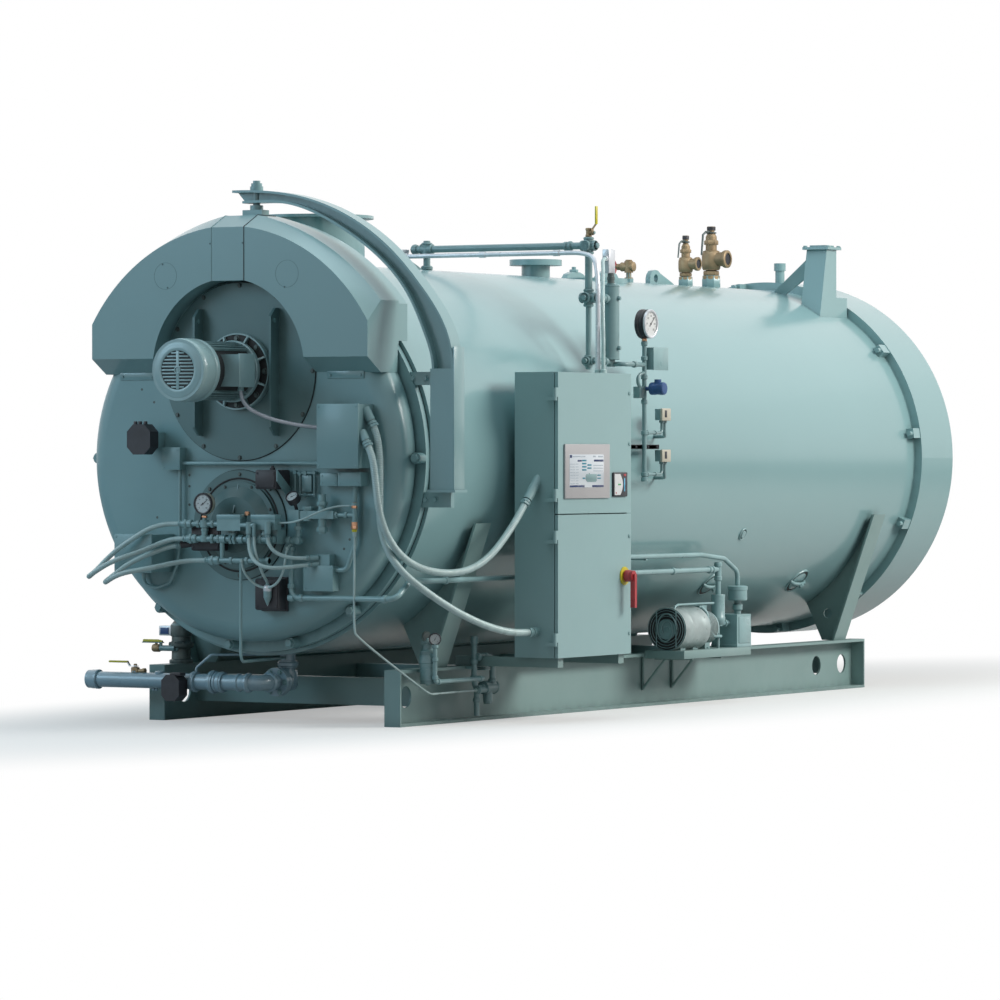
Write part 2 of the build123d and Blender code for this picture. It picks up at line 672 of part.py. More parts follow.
VALVE_TUBE_TWO = [
    (312, -537, 1041), (312, -537, 1012), (318, -534, 984), (334, -526, 956), (360, -512, 934),
    (392, -492, 919), (426, -468, 912), *TUBE_TWO_END,
]
IGNITION_ROUTE = [
    (345, -480, 1098), (390, -480, 1098), (440, -476, 1103), (496, -466, 1120), (552, -450, 1148),
    (608, -428, 1172), (656, -402, 1186), (700, PILOT_Y, 1190), (CABLE_END_X, PILOT_Y, 1190),
]
PLUG_ROUTE = [
    (228, ELBOW_Y, 1040), (228, ELBOW_Y, 1004), (233, -543, 968), (243, -544, 930), (254, -540, 892),
    (261, -527, 856), (260, -504, 826), (255, -478, 806), (249, -453, 791), (PLUG_X, PLUG_Y - SEAT, 777),
    (PLUG_X, PLUG_Y - SEAT, 756),
]

cord("hose_upper", HOSE_UPPER, HOSE_D)
cord("hose_lower", HOSE_LOWER, HOSE_D)
cord("conduit_upper", UPPER_ROUTE, CONDUIT_D)
cord("conduit_lower", LOWER_ROUTE, CONDUIT_D)
cord("motor_conduit", MOTOR_ROUTE, MOTOR_CONDUIT_D)
cord("valve_tube_one", VALVE_TUBE_ONE, TUBE_D)
cord("valve_tube_two", VALVE_TUBE_TWO, TUBE_D)
cord("ignition_cable", IGNITION_ROUTE, CABLE_D)
cord("plug_tube", PLUG_ROUTE, 16.0)


# Front davit: post beside the shell and arm over the hood

POST_X0 = FLANGE_R + 79.0
POST_X1 = POST_X0 + 144.0
POST_Y0 = -215.0
POST_Y1 = -108.0
POST_Z0 = 1275.0
POST_Z1 = 1915.0
ARM_Y = (POST_Y0 + POST_Y1) / 2
ARM_HALF = 50.0
ARM_T = 13.0
LINK_PLATES = ((1180.0, 1262.0), (1830.0, 1900.0))

post = bar(POST_X0, POST_X1, POST_Y0, POST_Y1, POST_Z0, POST_Z1)
post += bar(POST_X0 - 14, POST_X1 + 14, POST_Y0 - 10, POST_Y1 + 10, POST_Z0 - 14, POST_Z0)
for z0, z1 in LINK_PLATES:
    post += bar(FLANGE_R - 147, POST_X0 + 70, FLANGE_Y0 + 8, FLANGE_Y1, z0, z1)
post -= rod("y", (0, AXIS_Z), FLANGE_R + SEAT, FLANGE_Y0 - 200, 0)
save("davit_post", post)

OUTER_CURVE = [
    (-125, 2888), (77, 2882), (290, 2852), (628, 2729), (921, 2517), (1080, 2342),
    (1195, 2180), (1248, 2050), (POST_X1 - 8, POST_Z1),
]
INNER_CURVE = [
    (-60, 2816), (77, 2818), (200, 2810), (544, 2681), (796, 2512), (970, 2325),
    (1080, 2110), (1122, 1995), (POST_X0 + 8, POST_Z1),
]


def moved(curve, shift):
    """Points of a curve moved along its normal, its last one kept on the post."""
    result = []
    for i, (x, z) in enumerate(curve):
        xa, za = curve[max(i - 1, 0)]
        xb, zb = curve[min(i + 1, len(curve) - 1)]
        length = math.hypot(xb - xa, zb - za)
        result.append((x - shift * (zb - za) / length, z + shift * (xb - xa) / length))
    result[-1] = (result[-1][0], POST_Z1)
    return result


def curved_plate(one, two, y0, y1):
    """Plate between two smooth edges."""
    first = Spline(*[(x, y0, z) for x, z in one])
    second = Spline(*[(x, y0, z) for x, z in two])
    edges = [first, Line(first @ 1, second @ 1), second, Line(second @ 0, first @ 0)]
    return extrude(make_face(Wire(edges)), y1 - y0, dir=(0, 1, 0))


BLOCK_Y0 = ARM_Y - 45
BLOCK_Y1 = HOOD_BACK_Y - 2
arm = curved_plate(OUTER_CURVE, INNER_CURVE, ARM_Y - ARM_T / 2, ARM_Y + ARM_T / 2)
arm += curved_plate(OUTER_CURVE, moved(OUTER_CURVE, -ARM_T), ARM_Y - ARM_HALF, ARM_Y + ARM_HALF)
arm += curved_plate(INNER_CURVE, moved(INNER_CURVE, ARM_T), ARM_Y - ARM_HALF, ARM_Y + ARM_HALF)
arm += [
    rod("z", (0, ARM_Y), 20, HOOD_OUTER["top"] + 10, 2939),
    rod("z", (0, ARM_Y), 36, 2880, 2908),
    rod("z", (0, ARM_Y), 30, 2908, 2925),
    rod("z", (0, ARM_Y), 36, HOOD_OUTER["top"] + 32, HOOD_OUTER["top"] + 60),
    bar(-62, 62, BLOCK_Y0, BLOCK_Y1, HOOD_OUTER["top"], HOOD_OUTER["top"] + 34),
]
save("davit_arm", arm)


# Fittings along the top of the shell

FLUE_Y = 415.0
FLUE_R = 280.0
FLUE_FLANGE_R = 330.0
FLUE_RISE = 260.5
FLUE_TOP = TOP_Z + FLUE_RISE
flue = rod("z", (0, FLUE_Y), FLUE_R, TOP_Z - 60, FLUE_TOP)
flue += rod("z", (0, FLUE_Y), FLUE_FLANGE_R, FLUE_TOP - 16, FLUE_TOP)
flue -= rod("z", (0, FLUE_Y), FLUE_R - 8, TOP_Z - 80, FLUE_TOP + 1)
save("flue_outlet", seated(flue))

STEAM_Y = 2862.0
STEAM_RISE = 100.5
STEAM_TOP = TOP_Z + STEAM_RISE
STEAM_FLANGE_T = 34.0
STEAM_BORE_R = 74.0
steam = rod("z", (0, STEAM_Y), STEAM_BORE_R + 10, TOP_Z - 20, STEAM_TOP)
steam += rod("z", (0, STEAM_Y), STEAM_BORE_R + 81, STEAM_TOP - STEAM_FLANGE_T, STEAM_TOP)
steam -= rod("z", (0, STEAM_Y), STEAM_BORE_R, TOP_Z + 12, STEAM_TOP + 1)
save("steam_nozzle", seated(steam))

LUG_RISE = 95.0
LUG_EYE_R = 26.0
LUG_Y = (1452.0, 4415.0)


def lug(y):
    base = TOP_Z - 30
    peak = TOP_Z + LUG_RISE + 15
    plate = plate_yz([(y - 95, base), (y + 95, base), (y + 45, peak), (y - 45, peak)], -16, 16)
    plate += rod("x", (y, TOP_Z + LUG_RISE), LUG_EYE_R + 29, -16, 16)
    plate -= rod("x", (y, TOP_Z + LUG_RISE), LUG_EYE_R, -17, 17)
    return seated(plate)


save("lifting_lugs", *[lug(y) for y in LUG_Y])


def safety_valve(y, size, rise):
    """Bronze relief valve: base coupling, body, side outlet, bonnet, cap and lever."""
    top = TOP_Z + rise
    body_z = TOP_Z + 55 * size
    valve = rod("z", (0, y), 42 * size, TOP_Z - 15, body_z)
    valve += [
        rod("z", (0, y), 26 * size, body_z - 1, body_z + 30 * size),
        rod("z", (0, y), 40 * size, body_z + 28 * size, body_z + 120 * size),
        rod("x", (y, body_z + 80 * size), 34 * size, 0, 90 * size),
        rod("x", (y, body_z + 80 * size), 40 * size, 70 * size, 92 * size),
        rod("z", (0, y), 27 * size, body_z + 118 * size, body_z + 190 * size),
        rod("z", (0, y), 16 * size, body_z + 188 * size, top - 24),
        rod("z", (0, y), 20 * size, top - 25, top),
    ]
    valve -= rod("x", (y, body_z + 80 * size), 29 * size, 40 * size, 93 * size)
    return seated(valve)


SAFETY_VALVES = ((4732.0, 1.0, 311.5), (5070.0, 1.3, 380.5))
save("safety_valves", *[safety_valve(*row) for row in SAFETY_VALVES])

MANWAY_Y = 3518.0
MANWAY_R = 225.0
YOKE_X = 112.0
YOKE_T = 36.0
YOKE_HALF = 130.0
manway = rod("z", (0, MANWAY_Y), MANWAY_R, TOP_Z - 40, TOP_Z + 8)
for x in (YOKE_X, -YOKE_X):
    foot = TOP_Z - 25
    arch = plate_yz(
        [
            (MANWAY_Y - YOKE_HALF, foot), (MANWAY_Y - YOKE_HALF, TOP_Z + 4), (MANWAY_Y - 95, TOP_Z + 36),
            (MANWAY_Y - 45, TOP_Z + 50), (MANWAY_Y + 45, TOP_Z + 50), (MANWAY_Y + 95, TOP_Z + 36),
            (MANWAY_Y + YOKE_HALF, TOP_Z + 4), (MANWAY_Y + YOKE_HALF, foot),
        ],
        x - YOKE_T / 2,
        x + YOKE_T / 2,
    )
    manway += [arch, rod("z", (x, MANWAY_Y), 22, TOP_Z + 49, TOP_Z + 66), rod("z", (x, MANWAY_Y), 13, TOP_Z + 65, TOP_Z + 82)]
save("manway", seated(manway))


# Rear davit on the shell and the capped nipple on the rear ring

DAVIT_X0 = 460.0
DAVIT_X1 = 600.0
DAVIT_TOP = TOP_Z + 240.5
DAVIT_STEP = TOP_Z - 59.5
rear_davit = plate_yz(
    [
        (5375, TOP_Z - 260), (5485, DAVIT_TOP), (5620, DAVIT_TOP), (5620, DAVIT_STEP),
        (5770, DAVIT_STEP), (5770, TOP_Z - 260),
    ],
    DAVIT_X0,
    DAVIT_X1,
)
rear_davit += [
    bar(DAVIT_X0 - 20, DAVIT_X1 + 20, 5462, 5650, DAVIT_TOP, DAVIT_TOP + 16),
    bar(DAVIT_X0 + 15, DAVIT_X1 - 15, 5495, 5615, DAVIT_TOP + 16, DAVIT_TOP + 28),
    plate_xz(
        [
            (DAVIT_X0, DAVIT_TOP - 30), (DAVIT_X0, DAVIT_TOP - 150), (DAVIT_X0 - 230, TOP_Z - 70),
            (DAVIT_X0 - 300, TOP_Z - 50),
        ],
        5546,
        5560,
    ),
]
rear_top = AXIS_Z + REAR_R
nipple = rod("z", (0, 6010), 30, rear_top - 15, rear_top + 100)
nipple += rod("z", (0, 6010), 38, rear_top + 80, rear_top + 128)
nipple -= rod("y", (0, AXIS_Z), REAR_R + SEAT, SHELL_Y1, REAR_Y1)
save("rear_davit", seated(rear_davit), nipple)


# Control cabinet with two hinged doors

case_front = CAB_X1 - DOOR_THICK - DOOR_GAP
case = bar(CAB_X0, case_front, CAB_Y0, CAB_Y1, CAB_Z0, CAB_Z1)
case -= bar(
    CAB_X0 + CAB_WALL, CAB_X1, CAB_Y0 + CAB_WALL, CAB_Y1 - CAB_WALL, CAB_Z0 + CAB_WALL, CAB_Z1 - CAB_WALL
)
HINGE_X = CAB_X1 - DOOR_THICK / 2
HINGE_Y = CAB_Y0 - 18.0
PIN_R = 6.0
PIN_GAP = 0.4
KNUCKLE_R = 12.0
KNUCKLE_H = 50.0
FOOT_H = 20.0
HINGE_IN = 110.0
DOORS = {
    "cabinet_upper_door": (CAB_SPLIT + 3, CAB_Z1),
    "cabinet_lower_door": (CAB_Z0, CAB_SPLIT - 3),
}


def hinge_heights(z0, z1):
    return (z0 + HINGE_IN, z1 - HINGE_IN)


for z0, z1 in DOORS.values():
    for z in hinge_heights(z0, z1):
        low = z - KNUCKLE_H / 2
        foot = (low - FOOT_H, low)
        case += [
            rod("z", (HINGE_X, HINGE_Y), PIN_R, low - FOOT_H, z + KNUCKLE_H / 2),
            rod("z", (HINGE_X, HINGE_Y), KNUCKLE_R, *foot),
            bar(case_front - 40, case_front, HINGE_Y - KNUCKLE_R, CAB_Y0, *foot),
            bar(case_front - 40, HINGE_X, HINGE_Y - KNUCKLE_R, HINGE_Y + KNUCKLE_R, *foot),
        ]
glands = [wall_gland(route[-1], route[-2], 26, "y", CAB_Y0 + 40) for route in (UPPER_ROUTE, LOWER_ROUTE)]
beyond_wall = bar(CAB_X0 - 50, CAB_X1 + 50, CAB_Y0 - SEAT, CAB_Y1, CAB_Z0, CAB_Z1)
save("cabinet_case", case, *[gland - beyond_wall for gland in glands])


def cabinet_door(z0, z1):
    door = bar(CAB_X1 - DOOR_THICK, CAB_X1, CAB_Y0, CAB_Y1, z0, z1)
    for z in hinge_heights(z0, z1):
        low = z - KNUCKLE_H / 2
        high = z + KNUCKLE_H / 2
        door += bar(CAB_X1 - DOOR_THICK, CAB_X1, HINGE_Y, CAB_Y0 + 1, low, high)
        door += rod("z", (HINGE_X, HINGE_Y), KNUCKLE_R, low, high)
        door -= rod("z", (HINGE_X, HINGE_Y), PIN_R + PIN_GAP, low - 1, high + 1)
    return door


HANDLE_Y = 1437.0
HANDLE_Z = 790.0
SPINDLE_R = 10.0
upper = cabinet_door(*DOORS["cabinet_upper_door"])
lower = cabinet_door(*DOORS["cabinet_lower_door"])
lower += rod("x", (HANDLE_Y, HANDLE_Z), 49, CAB_X1, CAB_X1 + 6)
lower += rod("x", (HANDLE_Y, HANDLE_Z), SPINDLE_R, CAB_X1 + 6, CAB_X1 + 40)
save("cabinet_upper_door", upper)
save("cabinet_lower_door", lower)

handle = rod("x", (HANDLE_Y, HANDLE_Z), 30, CAB_X1 + 11, CAB_X1 + 62)
handle += bar(CAB_X1 + 46, CAB_X1 + 74, HANDLE_Y - 12, HANDLE_Y + 12, HANDLE_Z - 175, HANDLE_Z + 10)
handle -= rod("x", (HANDLE_Y, HANDLE_Z), SPINDLE_R + PIN_GAP, CAB_X1 + 10, CAB_X1 + 40)
save("disconnect_handle", handle)

HMI_Y = (758.0, 1272.0)
HMI_Z = (1224.0, 1520.0)
save("hmi_panel", bar(CAB_X1, CAB_X1 + 10, *HMI_Y, *HMI_Z))

brackets = [
    bar(RAIL_X0 + 6, case_front, y, y + 60, RAIL_H, CAB_Z0) for y in (CAB_Y0 + 40, CAB_Y1 - 100)
]
save("cabinet_brackets", *brackets)


# Vent valve with handwheel

VENT_Y = 4000.0
VENT_Z = TOP_Z + 96.0
WHEEL_X = -112.0
vent = rod("z", (0, VENT_Y), 26, TOP_Z - 15, TOP_Z + 30)
vent += [
    rod("z", (0, VENT_Y), 16, TOP_Z + 28, VENT_Z),
    rod("z", (0, VENT_Y), 27, VENT_Z - 36, VENT_Z + 34),
    rod("x", (VENT_Y, VENT_Z), 26, -52, 34),
    rod("x", (VENT_Y, VENT_Z), 16, -82, -51),
    rod("x", (VENT_Y, VENT_Z), 7, WHEEL_X - 4, -81),
]
save("vent_valve", seated(vent))

WHEEL_R = 48.0
WHEEL_TUBE = 7.0
wheel_place = Pos(WHEEL_X, VENT_Y, VENT_Z)
wheel = wheel_place * Rot(0, 90, 0) * Torus(WHEEL_R - WHEEL_TUBE, WHEEL_TUBE)
for angle in (0, 60, 120):
    wheel += wheel_place * Rot(angle, 0, 0) * Rot(0, 90, 0) * Box(2 * (WHEEL_R - WHEEL_TUBE), 11, 8)
wheel += rod("x", (VENT_Y, VENT_Z), 17, WHEEL_X - 10, WHEEL_X + 12)
wheel -= rod("x", (VENT_Y, VENT_Z), 7 + PIN_GAP, WHEEL_X - 4, WHEEL_X + 13)
save("vent_handwheel", wheel)


# Water column, its cross fittings and the lever cock on top

COL_X = SHELL_R + 7.0
COL_Y = 1585.0
COL_PIPE_R = 21.0
DRUM_Y = 1841.0
RISER_X = 20.0
COL_TOP_Z = TOP_Z + 118.5
COL_MID_Z = 2337.0
COL_LOW_Z = 1985.0
DRUM_R = 48.0
DRUM_TOP = COL_MID_Z + 80
PROBE_Z = DRUM_TOP + 63


def cross(x, y, z, r, arm):
    return rod("z", (x, y), r, z - arm, z + arm) + [
        rod("y", (x, z), r, y - arm, y + arm),
        rod("x", (y, z), r, x - arm, x + arm),
    ]


COCK_Z = COL_TOP_Z + 72
column = rod("z", (COL_X, COL_Y), COL_PIPE_R, COL_MID_Z, COL_TOP_Z)
column += [
    rod("z", (COL_X, COL_Y), 16, COL_LOW_Z - 45, COL_MID_Z),
    cross(COL_X, COL_Y, COL_TOP_Z, 27, 48),
    cross(COL_X, COL_Y, COL_MID_Z, 27, 50),
    cross(COL_X, COL_Y, COL_LOW_Z, 21, 34),
    rod("y", (COL_X, COL_MID_Z), 22, COL_Y, DRUM_Y),
    rod("y", (COL_X, COL_LOW_Z), 18, COL_Y, DRUM_Y),
    rod("z", (COL_X, DRUM_Y), DRUM_R, COL_LOW_Z + 10, DRUM_TOP),
    rod("z", (COL_X, DRUM_Y), 24, COL_LOW_Z - 30, DRUM_TOP + 8),
    rod("z", (COL_X, DRUM_Y), 18, DRUM_TOP + 7, PROBE_Z),
    rod("x", (COL_Y, COL_TOP_Z), COL_PIPE_R - 1, RISER_X - 90, COL_X),
    rod("x", (COL_Y, COL_TOP_Z), 27, RISER_X - 90, RISER_X - 62),
    rod("x", (COL_Y, COL_TOP_Z), 27, RISER_X - 40, RISER_X + 40),
    rod("z", (RISER_X, COL_Y), COL_PIPE_R - 1, TOP_Z - 15, COL_TOP_Z + 40),
    rod("z", (RISER_X, COL_Y), 27, COL_TOP_Z - 38, COL_TOP_Z + 36),
    rod("z", (COL_X, COL_Y), 14, COL_TOP_Z + 46, COCK_Z + 26),
    rod("x", (COL_Y, COCK_Z), 8, COL_X, COL_X + 40),
]
save("water_column", seated(column))

column_lever = bar(COL_X + 22, COL_X + 26, COL_Y - 14, COL_Y + 14, COCK_Z - 14, COCK_Z + 34)
column_lever += bar(COL_X + 22, COL_X + 50, COL_Y - 7, COL_Y + 7, COCK_Z + 30, COCK_Z + 34)
column_lever += bar(COL_X + 46, COL_X + 52, COL_Y - 11, COL_Y + 11, COCK_Z + 30, COCK_Z + 146)
column_lever -= rod("x", (COL_Y, COCK_Z), 8 + PIN_GAP, COL_X, COL_X + 60)
save("column_lever", column_lever)


# Instrument manifold beside the water column

MANIFOLD_R = 13.0
FEED_Z = COL_LOW_Z - 15
BRACKET_X1 = MANIFOLD_X - MANIFOLD_R + 2
SWITCH_Y = (2238.0, 2333.0)
SWITCHES = ((1657.0, 1721.0), (1422.0, 1487.0))
SWITCH_DROP = 72.0
manifold = rod("z", (MANIFOLD_X, MANIFOLD_Y), MANIFOLD_R, 1312, MANIFOLD_TOP)
manifold += pipe(
    [(COL_X + 24 + SEAT, DRUM_Y, FEED_Z), (MANIFOLD_X, DRUM_Y, FEED_Z), (MANIFOLD_X, MANIFOLD_Y, FEED_Z)],
    MANIFOLD_R,
    30,
)
switch_mid = (SWITCH_Y[0] + SWITCH_Y[1]) / 2
for z0, z1 in SWITCHES:
    manifold += pipe(
        [
            (MANIFOLD_X, MANIFOLD_Y, z0 - SWITCH_DROP), (MANIFOLD_X, switch_mid, z0 - SWITCH_DROP),
            (MANIFOLD_X, switch_mid, z0),
        ],
        9,
        25,
    )
manifold += rod("y", (MANIFOLD_X, 2005), 9, MANIFOLD_Y, 2103)
manifold += bar(1120, BRACKET_X1, 1900, 2270, 1495, 1515)
for y in (1915, 2225):
    manifold += bar(SHELL_R - 20, 1122, y, y + 30, 1495, 1515)
save("instrument_manifold", seated(manifold))

PROBE_TOP = PROBE_Z + 136
PROBE_FACE_Y = DRUM_Y - 42
probe_box = bar(COL_X - 35, COL_X + 35, PROBE_FACE_Y, DRUM_Y + 48, PROBE_Z, PROBE_TOP)
probe_box += pipe(
    [
        (COL_X + 12, PROBE_FACE_Y + 4, PROBE_TOP - 52), (COL_X + 14, PROBE_FACE_Y - 50, PROBE_TOP - 60),
        (COL_X + 125, 1520, PROBE_Z - 150), (COL_X + 152, 1482, PROBE_Z - 400),
        (COL_X + 152, 1482, CAB_Z1 + SEAT),
    ],
    11,
    45,
)
relay_box = bar(RISER_X - 190, RISER_X - 110, 1490, 1570, TOP_Z - 30, COL_TOP_Z)
relay_box += pipe(
    [
        (RISER_X - 112, 1530, COL_TOP_Z - 40), (COL_X + 80, 1530, COL_TOP_Z - 40),
        (COL_X + 118, 1480, COL_TOP_Z - 240), (COL_X + 118, 1480, CAB_Z1 + SEAT),
    ],
    13,
    85,
)
switch_boxes = [bar(MANIFOLD_X - 20, MANIFOLD_X + 32, *SWITCH_Y, z0, z1) for z0, z1 in SWITCHES]
upper_box = bar(MANIFOLD_X - 14, MANIFOLD_X + 45, 2103, 2273, 1942, 2068)
save("instrument_boxes", probe_box, seated(relay_box), upper_box, *switch_boxes)

TRANSMITTER_Z = 1834.0
transmitter = rod("x", (MANIFOLD_Y, TRANSMITTER_Z), 12, MANIFOLD_X + MANIFOLD_R + SEAT, 1205)
transmitter += rod("x", (MANIFOLD_Y, TRANSMITTER_Z), 34, 1204, 1290)
transmitter += rod("z", (1247, MANIFOLD_Y), 20, TRANSMITTER_Z, TRANSMITTER_Z + 52)
save("transmitter", transmitter)


# Air compressor on a shelf outside the right-hand rail

SHELF_X1 = 1070.0
SHELF_Y = (2724.0, 3557.0)
SHELF_Z = (278.0, 326.0)
DRUM_X = 950.0
COMP_R = 125.0
COMP_Z = SHELF_Z[1] + COMP_R - 2
shelf = bar(RAIL_X1, SHELF_X1, *SHELF_Y, *SHELF_Z)
for y in (2790.0, 3470.0):
    inner = RAIL_X0 + WEB_T
    shelf += plate_xz(
        [(inner, 50), (inner, 130), (RAIL_X1 + 20, SHELF_Z[0]), (1050, SHELF_Z[0]), (1050, SHELF_Z[0] - 16)],
        y,
        y + 10,
    )
save("compressor_shelf", shelf)

compressor = rod("y", (DRUM_X, COMP_Z), COMP_R, 2735, 3040)
compressor += [
    rod("y", (DRUM_X, COMP_Z), 95, 3039, 3205),
    rod("y", (DRUM_X, COMP_Z), 60, 2728, 2736),
    bar(DRUM_X - 60, DRUM_X + 60, 2790, 2850, SHELF_Z[1], COMP_Z),
    bar(DRUM_X - 60, DRUM_X + 60, 2940, 3000, SHELF_Z[1], COMP_Z),
    bar(DRUM_X - 50, DRUM_X + 50, 3110, 3170, SHELF_Z[1], COMP_Z),
    bar(DRUM_X - 40, DRUM_X + 40, 3060, 3150, COMP_Z + 80, COMP_Z + 130),
]
compressor -= bar(700, 1200, 2700, 3600, 0, SHELF_Z[1])
FILTER_X = 1010.0
FILTER_Y = 3500.0
filter_set = bar(900, SHELF_X1, 3380, SHELF_Y[1], SHELF_Z[1], 520)
filter_set += rod("z", (FILTER_X, FILTER_Y), 20, 520, 610)
filter_set += rod("z", (FILTER_X, FILTER_Y), 55, 600, 680)
save("compressor", compressor, filter_set)

AIR_X = 1008.0
AIR_Z = 787.0
AIR_R = 15.0
TEE_Y = 3258.0
AIR_FRONT_Y = -372.0
air_line = pipe(
    [
        (357, AIR_FRONT_Y, 1002 - 15 - SEAT), (357, AIR_FRONT_Y, 697), (AIR_X, AIR_FRONT_Y, 697),
        (AIR_X, -235, AIR_Z), (AIR_X, TEE_Y, AIR_Z + 0.5),
    ],
    AIR_R,
    50,
)
air_line += [
    rod("z", (AIR_X, TEE_Y), 20, 735, 830),
    rod("z", (AIR_X, TEE_Y), 16, 630, 740),
    rod("z", (AIR_X, TEE_Y), 38, 485, 640),
    rod("z", (AIR_X, TEE_Y), 26, 455, 486),
    rod("z", (AIR_X, TEE_Y), 10, SHELF_Z[1], 456),
]
FEED_X = 1000.0
supply = pipe(
    [
        (CAB_X0, 1400, 880), (FEED_X, 1400, 880), (FEED_X, 3060, 876), (FILTER_X, 3330, 850),
        (FILTER_X, FILTER_Y, 770), (FILTER_X, FILTER_Y, 680),
    ],
    14,
    60,
)
supply += bar(shell_x(860) - 40, FEED_X, 2390, 2410, 855, 875)
save("air_lines", air_line, seated(supply))


# Gas train across the front of the skid

GAS_END_X = -1075.0
GAS_COCK_X = -800.0
GAS_COCK_Z = GAS_Z + 60
RISER_TOP = 420.0
gas = pipe(
    [(GAS_END_X, GAS_Y, GAS_Z), (0, GAS_Y, GAS_Z), (0, RISER_Y, GAS_Z), (0, RISER_Y, RISER_TOP)], GAS_R, 100
)
for x0, x1, radius in ((GAS_END_X - 30, GAS_END_X + 35, 50), (-300, -272, 60), (-420, -392, 54), (-250, -215, 54)):
    gas += rod("x", (GAS_Y, GAS_Z), radius, x0, x1)
gas += [
    rod("y", (0, GAS_Z), 78, 20, 44),
    rod("y", (0, GAS_Z), 78, 46, 70),
    rod("z", (0, RISER_Y), 52, 300, 335),
    rod("z", (GAS_COCK_X, GAS_Y), 12, GAS_Z, GAS_COCK_Z),
    rod("z", (GAS_COCK_X, GAS_Y), 19, GAS_COCK_Z - 18, GAS_COCK_Z + 10),
    rod("z", (GAS_COCK_X, GAS_Y), 7, GAS_COCK_Z + 9, GAS_COCK_Z + 30),
]
gas += pipe([(-400, GAS_Y, GAS_Z), (-400, GAS_Y, 300), (-310, GAS_Y + 10, 372), (-42, RISER_Y - 10, 372)], 7, 25)
save("gas_train", seated(gas))

gas_lever = bar(GAS_COCK_X - 40, GAS_COCK_X + 14, GAS_Y - 12, GAS_Y + 12, GAS_COCK_Z + 15, GAS_COCK_Z + 19)
gas_lever += bar(GAS_COCK_X - 44, GAS_COCK_X - 40, GAS_Y - 7, GAS_Y + 7, GAS_COCK_Z + 15, GAS_COCK_Z + 40)
gas_lever += bar(GAS_COCK_X - 170, GAS_COCK_X - 40, GAS_Y - 10, GAS_Y + 10, GAS_COCK_Z + 36, GAS_COCK_Z + 42)
gas_lever -= rod("z", (GAS_COCK_X, GAS_Y), 7 + PIN_GAP, GAS_COCK_Z, GAS_COCK_Z + 40)
save("gas_lever", gas_lever)


# Gas regulator on the left-hand rail, air filter and drain at the right-hand rail

REG_X = -RAIL_X0 - RAIL_W / 2
REG_Y = 240.0
regulator = rod("z", (REG_X, REG_Y), 50, RAIL_H, RAIL_H + 150)
regulator += [
    rod("z", (REG_X, REG_Y), 62, RAIL_H, RAIL_H + 18),
    rod("z", (REG_X, REG_Y), 66, RAIL_H + 92, RAIL_H + 112),
    rod("z", (REG_X, REG_Y), 58, RAIL_H + 150, RAIL_H + 214),
    Pos(REG_X, REG_Y, RAIL_H + 226) * Cone(58, 34, 24),
    bar(REG_X - 118, REG_X - 40, REG_Y - 42, REG_Y + 20, RAIL_H + 155, RAIL_H + 205),
    rod("x", (REG_Y - 60, RAIL_H + 84), 16, REG_X - 110, REG_X),
    rod("y", (REG_X, RAIL_H + 84), 16, REG_Y - 60, REG_Y),
    rod("z", (REG_X - 95, REG_Y - 60), 9, RAIL_H + 84, RAIL_H + 118),
    bar(REG_X - 215, REG_X - 80, REG_Y - 70, REG_Y - 50, RAIL_H + 112, RAIL_H + 118),
]
save("gas_regulator", regulator)

FILTER_BOWL = (860.0, 200.0)
air_filter = rod("z", FILTER_BOWL, 41, 228, 402)
air_filter += [
    rod("z", FILTER_BOWL, 30, 400, 440),
    bar(824, 896, 192, 208, 438, 456),
    bar(RAIL_X1, 850, 185, 215, RAIL_H - RAIL_FLANGE_T, RAIL_H),
]
TRAP_X = 856.0
TRAP_Y = CAB_Y0 + 3
drain = pipe([(TRAP_X, TRAP_Y, 449), (TRAP_X, TRAP_Y, 185), (TRAP_X, TRAP_Y + 170, 185)], 16, 40)
drain += [
    rod("y", (TRAP_X, 185), 36, TRAP_Y + 90, TRAP_Y + 200),
    rod("z", (TRAP_X, TRAP_Y + 145), 26, 108, 185),
    bar(RAIL_X1, TRAP_X, TRAP_Y - 15, TRAP_Y + 15, RAIL_H - RAIL_FLANGE_T, RAIL_H),
]
save("skid_fittings", air_filter, drain)
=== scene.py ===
import math

import bmesh
import bpy
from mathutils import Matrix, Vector


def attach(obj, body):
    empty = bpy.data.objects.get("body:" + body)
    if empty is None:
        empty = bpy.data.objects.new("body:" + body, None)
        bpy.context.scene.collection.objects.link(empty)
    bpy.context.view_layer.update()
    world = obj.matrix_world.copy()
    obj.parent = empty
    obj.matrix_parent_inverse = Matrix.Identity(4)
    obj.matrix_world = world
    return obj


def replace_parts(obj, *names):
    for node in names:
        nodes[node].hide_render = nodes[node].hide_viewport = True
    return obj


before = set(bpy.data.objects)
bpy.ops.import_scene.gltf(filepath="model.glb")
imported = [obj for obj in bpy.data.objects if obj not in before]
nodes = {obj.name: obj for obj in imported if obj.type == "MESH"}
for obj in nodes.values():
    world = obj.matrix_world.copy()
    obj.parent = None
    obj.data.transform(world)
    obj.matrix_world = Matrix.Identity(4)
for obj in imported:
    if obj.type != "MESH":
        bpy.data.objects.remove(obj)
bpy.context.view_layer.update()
MM = 0.001
TAU = math.tau
X = Vector((1, 0, 0))
Y = Vector((0, 1, 0))
Z = Vector((0, 0, 1))

# Places that several pieces share, in millimetres; a line is given by the two values that stay the same on it

